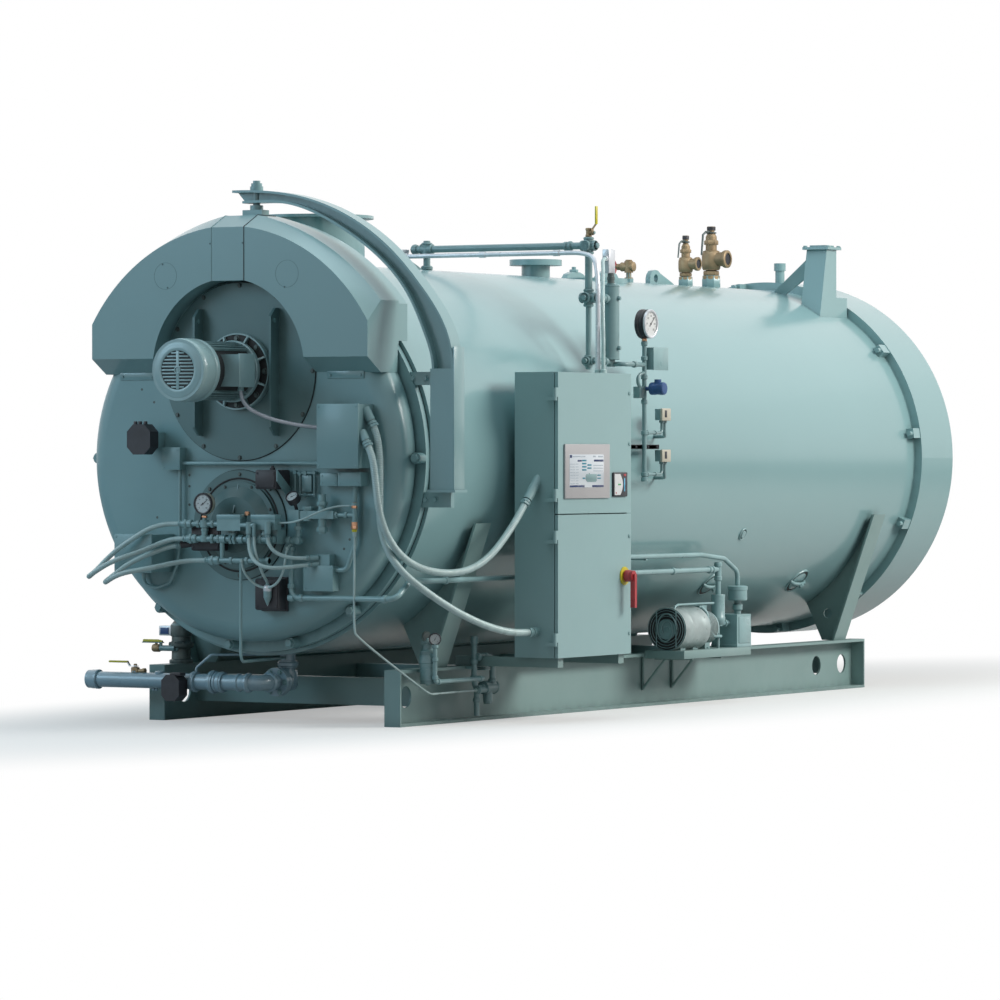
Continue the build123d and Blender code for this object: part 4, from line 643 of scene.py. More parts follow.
pilot = Build()
pilot.bend([
    (*IGNITER, 1056), (758, PILOT_Y, 800), (757, PILOT_Y, 535), (762, -364, 492), (866, 140, 200),
    (878, 196, 172), (878, 250, 172), (872, 727, 174),
], 12, 6)
for p, axis in (((*IGNITER, 1040), Z), ((872, 700, 174), Y)):
    pilot.bead(p, axis, 11, 30)
pilot.done("pilot_line", FLEX)

# Gauge dials


def figure(build, text, at, right, up, size):
    curve = bpy.data.curves.new("figure", "FONT")
    curve.body = text
    curve.size = size * MM
    curve.align_x = "CENTER"
    curve.align_y = "CENTER"
    points, faces = flatten(curve)
    made = [build.bm.verts.new(Vector(at) + Vector(right) * p.x / MM + Vector(up) * p.y / MM) for p in points]
    for face in faces:
        build.bm.faces.new([made[i] for i in face])


def dial(name, centre, out, up, r, numbers, pointer, rim=BLACK):
    """Bezel, white face, scale, plain numbers and a pointer on the front of a gauge."""
    out, up = Vector(out), Vector(up)
    right = up.cross(out)
    at = Vector(centre)

    def hand(degrees):
        a, b = math.cos(math.radians(degrees)), math.sin(math.radians(degrees))
        return right * a + up * b, right * -b + up * a

    Build().lathe(at, out, [
        (r * 0.86, 1), (r * 0.86, 6), (r * 0.9, 8), (r * 0.98, 8), (r * 1.02, 5), (r * 1.03, -4), (r * 1.01, -6),
    ], 56).done(name + "_bezel", rim, slot="gauge")
    Build().lathe(at, out, [(0, 1.6), (r * 0.91, 1.6), (r * 0.91, 0.2)], 56).done(name + "_face", WHITE)
    ink = Build()
    top = at + out * 1.8
    for i in range(41):
        radial, side = hand(225 - 270 * i / 40)
        inner, wide = (r * 0.77, r * 0.007) if i % 5 else (r * 0.7, r * 0.014)
        ink.plate([
            top + radial * inner - side * wide, top + radial * r * 0.84 - side * wide,
            top + radial * r * 0.84 + side * wide, top + radial * inner + side * wide,
        ], out * 0.4)
    for i, text in enumerate(numbers):
        radial, _ = hand(225 - 270 * i / (len(numbers) - 1))
        figure(ink, text, top + out * 0.3 + radial * r * 0.56, right, up, r * 0.19)
    radial, side = hand(pointer)
    lift = top + out * 1.6
    ink.plate([
        lift - radial * r * 0.26 - side * r * 0.035, lift + radial * r * 0.74 - side * r * 0.008,
        lift + radial * r * 0.74 + side * r * 0.008, lift - radial * r * 0.26 + side * r * 0.035,
    ], out * 0.8)
    ink.lathe(lift, out, [(0, 2), (r * 0.06, 2), (r * 0.075, 1), (r * 0.075, -1)], 20)
    ink.done(name + "_marks", INK)


dial("burner_gauge", (-112, -517, 1198), (0, -1, 0), Z, 57, ("0", "10", "20", "30", "40", "50", "60"), 35)
tilt = math.radians(50)
facing = Vector((0, -math.sin(tilt), math.cos(tilt)))
upward = (0, math.cos(tilt), math.sin(tilt))
dial("pilot_gauge", Vector((398, -418, 1226)) + facing * 16, facing, upward, 36, ("0", "5", "10", "15"), 30)
dial("steam_gauge", (1200, 2078, 2200), X, Z, 80, ("0", "50", "100", "150", "200", "250", "300"), 42, ALLOY)
Build().lathe((-112, -483, 1198), Y, [(57.5, -26), (58.5, -22), (58.5, -4), (54, 4), (30, 6), (0, 6)], 48).done(
    "burner_gauge_case", CREAM)
Build().lathe((1140, 2078, 2200), X, [
    (70, -2), (82, 0), (84, 4), (84, 18), (80, 22), (80, 30), (82, 34), (82, 44),
], 64).done("steam_gauge_case", BLACK, slot="gauge")

# Operator panel and small display on the upper door, both generic

panel = Build().box(1384.5, 1395, 758, 1256, 1222, 1518, 3)
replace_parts(panel.done("panel_bezel", PANEL, "upper_door"), "hmi_panel")
GLASS_Y, GLASS_Z = 802, 1281
Build().box(1394, 1396.4, GLASS_Y, 1184, GLASS_Z, 1462, 1).done("panel_screen", SCREEN, "upper_door")


def tiles(name, look, boxes):
    """Raised blocks of the screen; their layout is scaled to the glass."""
    build = Build()
    for y0, y1, z0, z1 in boxes:
        across = [GLASS_Y + (y - 818) * 0.96 for y in (y0, y1)]
        upright = [GLASS_Z + (z - 1278) * 0.943 for z in (z0, z1)]
        build.box(1396.2, 1397.2, *across, *upright, 0.4)
    build.done(name, look, "upper_door", "panel_grey")


tiles("screen_blocks", NAVY, [
    (822, 846, 1450, 1467), (910, 958, 1428, 1438), (1100, 1210, 1428, 1440), (822, 990, 1280, 1292),
    (1080, 1212, 1280, 1292),
])
tiles("screen_pills", TEAL, [
    (962, 1012, 1430, 1439), (962, 1012, 1412, 1421), (962, 1012, 1394, 1403), (962, 1012, 1376, 1385),
    (1024, 1070, 1404, 1413), (1024, 1070, 1386, 1395), (1140, 1180, 1346, 1353), (1140, 1180, 1328, 1335),
    (968, 1000, 1328, 1336),
])
tiles("screen_rows", PALE, [
    (852, 1000, 1455, 1461), (1090, 1120, 1454, 1462), (1150, 1205, 1454, 1462),
    *[(826, 880, 1300 + 16 * i, 1304 + 16 * i) for i in range(8)],
    *[(890, 920, 1300 + 16 * i, 1304 + 16 * i) for i in range(8)],
    *[(1094, 1206, 1372 + 16 * i, 1377 + 16 * i) for i in range(3)],
])
tiles("screen_drum", PIPE, [
    (1010, 1132, 1316, 1356), (1018, 1124, 1310, 1316), (1004, 1012, 1322, 1350), (1040, 1052, 1356, 1362),
])
Build().box(DOOR_X, DISPLAY_X, 1298, 1456, 1229, 1363, 5).done("display_case", BLACK, "upper_door", "panel_grey")
curved = [(1370 + 30 * math.sin(t / 8 * math.pi), 1238 + 116 * t / 8) for t in range(9)]
face = Build().plate([(DISPLAY_X, y, z) for y, z in ((1306, 1238), *curved, (1306, 1354))], X * 1.2)
face.done("display_face", WHITE, "upper_door", "panel_grey")
Build().box(DISPLAY_X, 1397.2, 1412, 1424, 1258, 1330, 0.4).done("display_bar", CYAN, "upper_door")
Build().box(1396.6, 1398.2, 1344, 1376, 1292, 1300, 0.4).done("display_lamp", GREEN, "upper_door")
button = Build().lathe((1396.6, 1322, 1250), X, [(5, 0), (5, 1.4), (0, 1.8)], 16)
button.box(DISPLAY_X, 1397.4, 1410, 1436, 1342, 1354, 0.4)
button.done("display_button", RED, "upper_door", "panel_grey")
disc = Build().lathe(HANDLE, X, [(51, 0.5), (51, 5), (49, 7.6), (14, 7.6), (14, 6)], 48)
disc.done("disconnect_plate", YELLOW, "lower_door")
Build().lathe(HANDLE, X, [(31, 12), (33, 14), (33, 40), (29, 46)], 40).done("disconnect_hub", RED, "disconnect")
for body, heights in (("upper_door", (1520, 1800)), ("lower_door", (470, 1010))):
    latch = Build()
    for z in heights:
        latch.lathe((DOOR_X, 1494, z), X, [(11, 0), (11, 3), (9, 5), (0, 5)], 24)
        latch.box(1387, 1391, 1491.5, 1496.5, z - 8, z + 8, 1)
    latch.done(body + "_latches", CABINET, body)

# Rolled jacket of the shell, and the lifting lugs with their eyes

skin = Build().lathe((0, 0, SHELL_Z), Y, [
    (1067, -82), (SHELL_R, -81), (SHELL_R, 5782), (1008, 5782), (1008, -82),
], 320, closed=True)
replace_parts(skin.done("shell_skin", BODY), "shell_jacket")


def eye_plate(build, outline, eye, radius, x0, x1, count=72):
    """Plate across X with a round eye, its outline seen from the eye."""
    hole, edge = [], []
    for k in range(count):
        a, b = math.cos(TAU * k / count), math.sin(TAU * k / count)
        reach = []
        for (y0, z0), (y1, z1) in zip(outline, outline[1:] + outline[:1]):
            turn = (z1 - z0) * a - (y1 - y0) * b
            if abs(turn) < 1e-9:
                continue
            far = ((y0 - eye[0]) * (z1 - z0) - (z0 - eye[1]) * (y1 - y0)) / turn
            along = ((y0 - eye[0]) * b - (z0 - eye[1]) * a) / turn
            if far > 0 and -1e-6 <= along <= 1 + 1e-6:
                reach.append(far)
        hole.append((eye[0] + a * radius, eye[1] + b * radius))
        edge.append((eye[0] + a * min(reach), eye[1] + b * min(reach)))
    build.rings([
        [(x0, y, z) for y, z in edge], [(x0, y, z) for y, z in hole],
        [(x1, y, z) for y, z in hole], [(x1, y, z) for y, z in edge],
    ], closed=True)


lugs = Build()
for y in (1233, 4241):
    outline = [
        (0, 2480), (0, 2540), (9, 2565), (34, 2588), (69, 2596), (104, 2592), (131, 2576), (351, 2500), (351, 2480),
    ]
    eye_plate(lugs, [(y + a, z) for a, z in outline], (y + 76, 2544), 25, -16, 16)
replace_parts(lugs.done("lug_plates", BODY), "lifting_lugs")

# Bolted flanges and covers along the shell

bolts = Build()
for x in (-112, 112):
    bolts.nut((x, 3518, 2559), Z, 46, 17)
for y, z, facing, radius, count, start, across in (
    (6240, SHELL_Z, Y, 1070, 36, 5, 26), (6262, SHELL_Z, Y, 600, 20, 9, 24),
    (20, GAS_Z, -Y, 62, 6, 0, 20), (70, GAS_Z, Y, 62, 6, 0, 20),
):
    for p in circle((0, y, z), Y, radius, count, start):
        bolts.bolt(p, facing, across, 12)
for y in (5480, 5632):
    for x in (452, 608):
        bolts.bolt((x, y, 2766), Z, 22, 10)
bolts.done("flange_bolts", BODY)

# Fitting collars on the water column and manifold

collars = Build()
for z, r, arm in ((HEADER_Z, 30, 48), (2337, 30, 50), (1985, 24, 34)):
    for axis in (X, Y, Z):
        for s in (1, -1):
            collars.bead(Vector((*HEADER, z)) + axis * s * (arm - 8), axis, r, 16)
    if z < HEADER_Z:
        collars.nut((COLUMN_X, HEADER_Y - arm, z), -Y, r, 14)
    collars.nut((COLUMN_X + arm, HEADER_Y, z), X, r, 14)
collars.nut((*HEADER, 1951), -Z, 30, 14)
for z, r in ((2337, 27), (1985, 23)):
    collars.bead((COLUMN_X, 1770, z), Y, r, 30)
for z in (2000, 2410):
    collars.bead((*COLUMN, z), Z, 50, 12)
for z in (2060, 2340):
    collars.nut((1121, 1841, z), X, 22, 16)
for z in (2090, 2006, 1900, 1760, 1584, 1350, 1322):
    collars.bead((*MANIFOLD, z), Z, 19, 26)
for z in (1585, 1350):
    collars.bead((1160, 2110, z), Y, 15, 20)
    collars.nut((1160, 2200, z), Y, 24, 14)
collars.bead((1160, 1960, 1970), Y, 19, 24)
collars.bend([
    (*MANIFOLD, 1925), (1160, 2040, 1922), (1160, 2004, 1900), (1160, 2000, 1868), (1160, 2030, 1838),
    (1160, 2070, 1826),
], 8, 10)
collars.box(1122, 1166, 2014, 2072, 1780, 1846, 4)
for z in (1657, 1422):
    collars.bend([
        (1162, 2312, z + 4), (1162, 2312, z - 40), (1160, 2316, z - 76), (1146, 2350, z - 92), (1110, 2372, z - 94),
        (1046, 2376, z - 94),
    ], 8, 10)
    collars.nut((1162, 2312, z - 16), Z, 26, 14)
for x, r, wide in ((-57, 30, 24), (-14, 31, 14), (54, 31, 14), (930, 25, 26), (958, 28, 24)):
    collars.bead((x, HEADER_Y, HEADER_Z), X, r, wide)
collars.nut((-70, HEADER_Y, HEADER_Z), -X, 34, 10)
for z, r, wide in ((2597, 31, 14), (2660, 31, 12), (2521, 34, 28)):
    collars.bead((20, HEADER_Y, z), Z, r, wide)
collars.nut((20, HEADER_Y, 2665), Z, 34, 12)
collars.done("column_collars", PIPE)
strap = Build()
strap.box(1119, 1149, 1896, 2274, 1492, 1518, 1.5)
for y in (1930, 2000, 2140, 2245):
    strap.bolt((1149, y, 1505), X, 11, 5)
strap.done("manifold_bracket", BLACK)

# Instrument boxes, their conduits and the pressure switches

boxes = Build()
boxes.box(1042, 1082, 1799, 1875, 2480, 2616, 4)
boxes.box(1080, 1085, 1801, 1873, 2482, 2614, 2)
boxes.nut((1068, 1800, 2564), -Y, 30, 16)
boxes.box(-170, -90, 1490, 1570, 2479.5, 2618, 4)
boxes.box(-172, -88, 1488, 1572, 2612, 2628, 3)
boxes.nut((-92, 1530, 2588), X, 36, 18)
boxes.bend([
    (-92, 1530, 2588), (930, 1530, 2588), (1060, 1530, 2588), (1150, 1525, 2560), (1184, 1495, 2440),
    (1193, 1480, 2360), (1193, 1480, 2250), (1193, 1480, 1909),
], 12, 13, 16)
for x in (420, 900):
    boxes.bead((x, 1530, 2588), X, 17, 44)
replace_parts(boxes.done("probe_box", ALLOY), "instrument_boxes")
lead = Build()
lead.bend([
    (1068, 1803, 2564), (1070, 1775, 2560), (1078, 1740, 2548), (1100, 1706, 2513), (1185, 1551, 2361),
    (1205, 1513, 2290), (1224, 1487, 2110), (1227, 1482, 2060), (1227, 1482, 1909),
], 12, 11, 16)
for x, y in ((1227, 1482), (1193, 1480)):
    lead.bead((x, y, 1922), Z, 18, 26)
    lead.nut((x, y, 1909), Z, 38, 8)
lead.done("probe_conduit", FLEX)
neck = Build().lathe((*COLUMN, 2417), Z, [(20, 0), (20, 26), (22, 28), (22, 44), (19, 46), (19, 63)], 20)
neck.done("probe_neck", DARK_STEEL)
control = Build()
control.box(1146, 1205, 2103, 2273, 1942, 2068, 3)
control.box(1203, 1208, 2101, 2275, 1940, 2070, 1.5)
control.done("control_box", SMALL)
cases, covers, windows = Build(), Build(), Build()
for z0, z1 in ((1657, 1721), (1422, 1487)):
    cases.box(1140, 1178, 2238, 2333, z0, z1, 3)
    cases.nut((1160, 2285, z0 - 14), Z, 26, 14)
    covers.box(1177, 1192, 2234, 2337, z0 - 3, z1 + 3, 4)
    windows.box(1191.4, 1193, 2262, 2288, z0 + 16, z1 - 8, 0.8)
cases.done("switch_cases", PIPE)
covers.done("switch_covers", CREAM)
windows.done("switch_windows", INK, slot="black_housing")

# Cock levers: a bent bar and a vinyl grip, each on its own body

bar = Build().box(1097, 1101, 1573, 1597, 2686, 2726, 1)
bar.plate([(1097, 1578, 2722), (1101, 1578, 2718), (1127, 1578, 2750), (1123, 1578, 2754)], (0, 14, 0))
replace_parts(bar.done("column_lever_bar", BRONZE, "column_cock_lever"), "column_lever")
grip = Build().box(1119, 1129, 1574, 1596, 2746, 2848, 4.5)
grip.done("column_lever_grip", YELLOW, "column_cock_lever")
bar = Build().box(-838, -786, -161, -139, 300, 304, 1)
bar.plate([(-838, -157, 300), (-834, -157, 304), (-850, -157, 327), (-856, -157, 325)], (0, 14, 0))
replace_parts(bar.done("gas_lever_bar", STEEL, "gas_cock_lever"), "gas_lever")
Build().box(-972, -848, -161, -139, 319, 330, 4.5).done("gas_lever_grip", YELLOW, "gas_cock_lever")

# Safety valves, drawn at two sizes, and the vent valve: caps, levers, bronze trim and couplings


def grown(size, *profile):
    return [(r * size, h * size) for r, h in profile]


def widened(size, *profile):
    return [(r * size, h) for r, h in profile]


caps, arms, trim, bases = Build(), Build(), Build(), Build()
for y, size, top in ((4732, 1.0, 2821), (5070, 1.3, 2890)):
    caps.lathe((0, y, top - 25), Z, widened(size, (17, 0), (21, 2), (21, 22), (18, 26), (0, 26)), 24)
    caps.lathe((88 * size, y, SHELL_TOP + 135 * size), X, grown(size, (0, -42), (28.5, -42), (28.5, 0)), 32)
    arms.tube([
        (0, y + 24 * size, top - 42), (0, y - 10 * size, top - 32), (0, y - 56 * size, top - 36),
        (0, y - 84 * size, top - 54), (0, y - 100 * size, top - 140 * size),
    ], [r * size for r in (4, 6, 6, 5.5, 4.5)], 10)
    arms.lathe((0, y, top - 46), Z, widened(size, (15, 0), (25, 3), (25, 10), (15, 13)), 24)
    z = SHELL_TOP + 55 * size
    trim.nut((0, y, z + 4), Z, 66 * size, 22 * size)
    trim.lathe((0, y, z + 28 * size), Z, grown(size, (36, 0), (44, 8), (46, 30), (46, 70), (40, 88), (30, 96)), 32)
    trim.nut((0, y, z + 150 * size), Z, 60 * size, 22 * size)
    trim.lathe((0, y, z + 185 * size), Z, grown(size, (27, 0), (24, 10), (15, 26)), 24)
    rim = grown(size, (29, -16), (42, -16), (43, -12), (43, 0)) + widened(size, (40, 3), (29, 3))
    trim.lathe((90 * size, y, z + 80 * size), X, rim, 40, closed=True)
    foot = widened(size, (44, 0), (46, 6)) + grown(size, (46, 40), (43, 48), (43, 60), (30, 62))
    bases.lathe((0, y, 2505), Z, foot, 8)
trim.nut((-60, VENT_Y, 2605.5), -X, 38, 20)
trim.lathe((0, VENT_Y, 2605.5), X, [
    (17, -54), (28, -50), (28, -42), (26.5, -36), (26.5, 18), (29, 22), (29, 36), (22, 38),
], 28)
trim.nut((0, VENT_Y, 2638), Z, 36, 10)
bases.lathe((0, VENT_Y, 2505), Z, [(30, 0), (30, 26), (22, 34), (17, 38), (17, 66)], 8)
caps.done("relief_caps", BLACK)
arms.done("relief_levers", DARK_STEEL)
trim.done("valve_trim", BRONZE)
bases.done("valve_couplings", BODY)

# Black actuators with lids, screws and knobs; the two with broad corners are plain

SCREW = [(6, 0), (6, 3), (0, 3.6)]
acts = Build()
for x0, x1, y0, y1, z0, z1, edge in (
    (-224, -34, -470, -384, 944, 1078, 12), (187, 324, -470, -330, 1276, 1380, 10),
    (145, 302, -410, -320, 629, 799, 12), (-623, -472, -490, -410, 1461, 1625, 40),
    (-545, -430, -276, -193.3, 122, 264, 30),
):
    if edge > 20:
        outline = [
            (x0 + edge, z0), (x1 - edge, z0), (x1, z0 + edge), (x1, z1 - edge),
            (x1 - edge, z1), (x0 + edge, z1), (x0, z1 - edge), (x0, z0 + edge),
        ]
        acts.plate([(x, y0, z) for x, z in outline], Y * (y1 - y0))
        continue
    acts.box(x0, x1, y0, y1, z0, z1, edge)
    acts.box(x0 + 8, x1 - 8, y0 - 5, y0 + 6, z0 + 8, z1 - 8, 5)
    for x, z in corners(x0, x1, z0, z1, 18):
        acts.lathe((x, y0 - 5, z), -Y, SCREW, 12)
for x in (-590, -560, -525):
    acts.lathe((x, -455, 1624), Z, [(11, 0), (11, 14), (9, 17), (0, 17)], 16)
acts.lathe((255, -400, 1378), Z, [(14, 0), (14, 12), (8, 15), (8, 24), (0, 24)], 16)
acts.box(-500, -432, -262, -205, 258, 276, 4)
acts.box(140, 307, -335, -320, 622, 806, 4)
for x, z in corners(140, 307, 622, 806, 10):
    acts.lathe((x, -335, z), -Y, SCREW, 12)
acts.tube([(-200, -425, 990), (-285, -473, 975)], 20, 20)
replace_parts(acts.done("actuator_cases", BLACK), "actuators")
link = Build()
for x, z0, z1 in ((366, 1225, 1376), (396, 1240, 1368), (486, 1235, 1374)):
    link.tube([(x, LINK_Y, z0), (x, LINK_Y, z1)], 6)
    link.lathe((x, LINK_Y, z1 - 10), -Y, [(0, -9), (10, -9), (11, -7), (11, 7), (10, 9), (0, 9)], 16)
for z in (1362, 1246):
    link.tube([(366, LINK_Y, z), (486, LINK_Y, z)], 6)
    link.lathe((430, LINK_Y, z), -Y, [(0, -9), (11, -9), (12, -7), (12, 7), (11, 9), (0, 9)], 16)
for x in (366, 486):
    link.tube([(x, LINK_Y, 1362), (x, -319, 1362)], 9, 14)
link.box(410, 470, -352, -344, 1262, 1350, 2)
link.done("damper_linkage", PIPE)

# Compressor: bright shroud, then the tray, the wire guard with its coil, and the tank

shroud = Build()
shroud.lathe((AIR_X, 2735, AIR_Z), Y, [
    (118, 0), (127, 0), (127, 12), (125.6, 15), (125.6, 90), (127, 94), (127, 104), (125.6, 108), (125.6, 240),
    (128, 246), (128, 300), (120, 306), (96, 306),
], 64)
for a in range(0, 360, 30):
    p = spot((AIR_X, 2990, AIR_Z), Y, 127, a)
    shroud.lathe(p, p - Vector((AIR_X, 2990, AIR_Z)), [(6, -2), (6, 2.5), (0, 3)], 10)
for i in range(9):
    shroud.bead((AIR_X, 3052 + i * 16, AIR_Z), Y, 102, 7)
shroud.done("compressor_shroud", SHROUD)
tray = Build()
tray.box(809, 1070, 2724, 3557, 278, 326, 3)
for y in (2850, 3210):
    tray.tube([(729, y, 88), (729, y, 289)], 8, 8)
    tray.tube([(729, y, 98), (884, y, 280)], 8, 8)
    tray.box(809, 1060, y - 12, y + 12, 268, 280, 2)
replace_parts(tray.done("compressor_tray", SKID), "compressor_shelf")
opening = Build().lathe((AIR_X, 2734, AIR_Z), Y, [(0, -0.6), (118, -0.6), (118, 0.4)], 56)
opening.done("compressor_opening", GAP)
guard = Build()
for r in (122, 108, 92, 76, 58, 40):
    wire = [(r - 2, 0), (r, -2), (r + 2, 0), (r, 2)]
    guard.lathe((AIR_X, 2729, AIR_Z), Y, wire, 56, closed=True)
for x in (-64, 64):
    half = math.sqrt(122 ** 2 - x * x)
    guard.tube([(AIR_X + x, 2726, AIR_Z + s * half) for s in (-1, 1)], 4, 10)
guard.lathe((AIR_X, 2726, AIR_Z), Y, [(0, -6), (14, -5), (16, 0), (16, 6)], 24)
coil = []
for t in range(40):
    turn, shrink = t / 24 * TAU, 1 - t / 60
    coil.append((AIR_X + 70 * math.cos(turn) * shrink, 2722, AIR_Z + 100 * math.sin(turn) * shrink))
guard.tube(coil, 4.5, 10)
guard.done("compressor_guard", PIPE)
tank = Build()
tank.tube([
    (985, 2760, 560), (985, 2770, 580), (985, 2800, 590), (985, 3080, 590), (990, 3140, 590), (1008, 3200, 590),
], 7)
tank.tube([
    (1000, 3060, 570), (1030, 3070, 540), (1040, 3080, 480), (1036, 3110, 430), (1030, 3160, 400),
    (1025, 3260, 395),
], 10, 14)
tank.box(896, 1072, 3378, 3559, 326, 345, 4)
tank.box(1066, 1074, 3400, 3540, 350, 505, 4)
tank.lathe((1010, 3500, 600), Z, [(50, 0), (57, 4), (57, 60), (60, 62), (60, 82), (52, 86), (20, 88)], 36)
tank.bead((1010, 3500, 560), Z, 30, 40)
tank.lathe((*SEPARATOR, 640), Z, [
    (40, 0), (42, -6), (40, -14), (40, -130), (43, -134), (43, -150), (36, -170), (20, -184),
], 36)
tank.bead((*SEPARATOR, 735), Z, 23, 30)
tank.bead((*SEPARATOR, 815), Z, 24, 26)
tank.tube([(*SEPARATOR, 470), (1008, 3330, 470), (1008, 3390, 470)], 15, 14)
tank.nut((1008, 3330, 470), Y, 40, 18)
for x in (905, 1000):
    for y in (2820, 2970, 3140):
        tank.bolt((x, y, 326), Z, 18, 9)
tank.done("compressor_fittings", SMALL)

# Closing plate between the far rail and the shell, dark in the photo

curb = Build()
curb.box(-742, -733, 458, 5292, 304, 402, 1.5)
for y in range(700, 5021, 720):
    curb.box(-762, -741, y - 5, y + 5, 304, 396, 1.5)
curb.done("rail_curb", SKID)

# Hand holes: a ring on the shell, a dark gap, a cover and its yoke

rims, gaps = Build(), Build()
for y, angle, r in ((4768, -45, 84), (3618, -44.6, 84), (3644, -25, 30)):
    out, _ = spoke(math.radians(angle))
    at = Vector((0, y, SHELL_Z)) + out * SHELL_R
    rims.lathe(at, out, [(r, -8), (r + 10, -8), (r + 10, 3), (r + 7, 7), (r + 2, 7), (r, 4)], 56, closed=True)
    gaps.lathe(at, out, [(0, 3), (r + 1, 3), (r + 1, -4)], 56)
    rims.lathe(at, out, [(r * 0.8, 0), (r * 0.8, 6), (r * 0.7, 10), (0, 11)], 48)
    if r > 50:
        yoke = ((-1, 4), (-0.8, 22), (0, 30), (0.8, 22), (1, 4))
        rims.tube([at + Y * s * r * 1.02 + out * h for s, h in yoke], 11)
        rims.nut(at + out * 38, out, 30, 16)
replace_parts(rims.done("hand_hole_covers", BODY), "shell_ports")
gaps.done("hand_hole_gaps", GAP)

# Thin tube looped under the burner manifold

loop = Build()
loop.bend([
    (136, -520, 905), (136, -520, 875), (143, -500, 825), (175, -470, 776), (214, -446, 752), (266, -446, 750),
    (319, -450, 776), (356, -450, 838), (362, -440, 908), (357, -420, 958), (357, -385, 980),
], 8, 7)
for p in ((136, -520, 893), (357, -416, 962)):
    loop.bead(p, Z, 11, 18)
loop.done("manifold_loop", FLEX)

# Gas train: end cap, cock body, regulator parts

gas = Build()
gas.lathe((-1105, *GAS_LINE), -X, [
    (50, -70), (54, -66), (54, -52), (52, -46), (52, -24), (49, -10), (41, 2), (28, 10), (12, 14), (0, 14.5),
], 40)
for x, r in ((-286, 64), (-262, 56), (-406, 58), (-232, 58), (-60, 54), (-120, 50)):
    gas.bead((x, *GAS_LINE), X, r, 26)
for x in (-680, -660):
    gas.nut((x, GAS_Y, 182), -Z, 14, 12)
gas.lathe((-640, GAS_Y, 262), Z, [(26, 0), (26, 12), (20, 16), (0, 16)], 20)
gas.bead((0, -40, GAS_Z), Y, 54, 26)
gas.bead((0, 120, GAS_Z), Y, 56, 26)
gas.lathe((0, 150, GAS_Z), Z, [(0, -54), (40, -46), (55, -20), (57, 0), (55, 40), (52, 60)], 36)
gas.bead((0, 150, 318), Z, 58, 36)
gas.done("gas_fittings", GAS_LIT)
cock = Build()
cock.lathe((-800, GAS_Y, 262), Z, [(16, 0), (20, 6), (20, 14), (24, 16), (24, 31), (18, 34), (12, 36)], 6)
cock.box(-822, -778, -166, -134, 264, 286, 8)
cock.tube([(-740, GAS_Y, 276), (-822, GAS_Y, 276)], 11, 16)
cock.nut((-748, GAS_Y, 276), X, 30, 14)
cock.nut((-800, GAS_Y, 305), Z, 17, 8)
cock.lathe((*HEADER, 2674), Z, [(14, 0), (18, 3), (18, 14), (15, 17), (15, 38), (18, 41), (18, 50), (12, 53)], 16)
cock.lathe((1088, HEADER_Y, 2700), X, [(13, 0), (13, 6), (10, 8)], 16)
cock.nut((1102, HEADER_Y, 2700), X, 22, 8)
cock.lathe((-904, 180, 389), X, [(20, 0), (22, 6), (22, 40), (18, 46)], 16)
cock.tube([(-884, 180, 402), (-884, 178, 426)], 8)
cock.done("cock_bodies", BRONZE)
reg = Build()
reg.lathe((*REGULATOR, 305), Z, [
    (64, 0), (66, 4), (66, 18), (54, 24), (52, 80), (68, 90), (70, 96), (70, 110), (60, 116), (53, 124), (53, 148),
    (58, 150), (60, 154), (60, 206), (57, 214), (38, 236), (32, 239), (0, 240),
], 40)
for p in circle((*REGULATOR, 415), Z, 62, 8):
    reg.bolt(p, Z, 12, 8)
reg.done("regulator_body", DARK_STEEL, slot="cast_grey")
Build().box(-879, -797, 196, 262, 458, 512, 4).done("regulator_switch", ZINC)
Build().box(-868, -812, 193, 197, 466, 502, 2).done("regulator_plate", BLUE)
grip = Build().tube([(-845, 180, 422), (-870, 178, 428), (-895, 178, 428), (-968, 178, 428)], 9)
grip.done("regulator_lever_grip", YELLOW)

# Air filter at the front of the right-hand rail, and the drain valve behind it

bowl = Build()
bowl.lathe((*FILTER, 226), Z, [
    (8, -8), (14, 0), (36, 8), (42, 24), (42, 110), (46, 114), (46, 150), (40, 158), (40, 178), (28, 190),
    (28, 214),
], 36)
bowl.tube([(824, 200, 447), (896, 200, 447)], 7)
bowl.lathe((*FILTER, 440), Z, [(9, 0), (9, 30), (6, 34), (0, 34)], 14)
bowl.bend([
    (*RISER, 440), (*RISER, 300), (*RISER, 250), (918, 190, 240), (918, 250, 240), (918, 400, 240), (918, 690, 240),
], 10, 12, 14)
bowl.tube([(918, 676, 240), (856, 700, 240)], 13, 14)
for p, axis in (((918, 182, 262), Z), ((918, 216, 240), Y), ((918, 660, 240), Y), ((*RISER, 360), Z)):
    bowl.bead(p, axis, 17, 22)
bowl.bead((*RISER, 432), Z, 18, 24)
bowl.tube([(*FILTER, 380), (*RISER, 380)], 12, 14)
bowl.nut((890, 190, 380), (58, -20, 0), 32, 14)
bowl.done("filter_bowl", SMALL)
Build().lathe((*RISER, 470), (0.5, -0.86, 0), [(0, -10), (30, -10), (34, -6), (34, 8), (30, 10)], 32).done(
    "filter_gauge_case", BLACK, slot="gauge")
facing = Vector((0.503, -0.864, 0))
dial("filter_gauge", Vector((*RISER, 470)) + facing * 9, facing, Z, 32, ("0", "5", "10"), 60)
drain = Build()
for z in (440, 330, 240):
    drain.bead((*DRAIN, z), Z, 22, 30)
drain.lathe((*DRAIN, 448), Z, [(22, 0), (22, 14), (18, 20), (0, 20)], 20)
drain.bead((856, 780, 185), Y, 24, 24)
drain.bead((856, 905, 185), Y, 40, 20)
drain.nut((856, 845, 108), -Z, 40, 14)
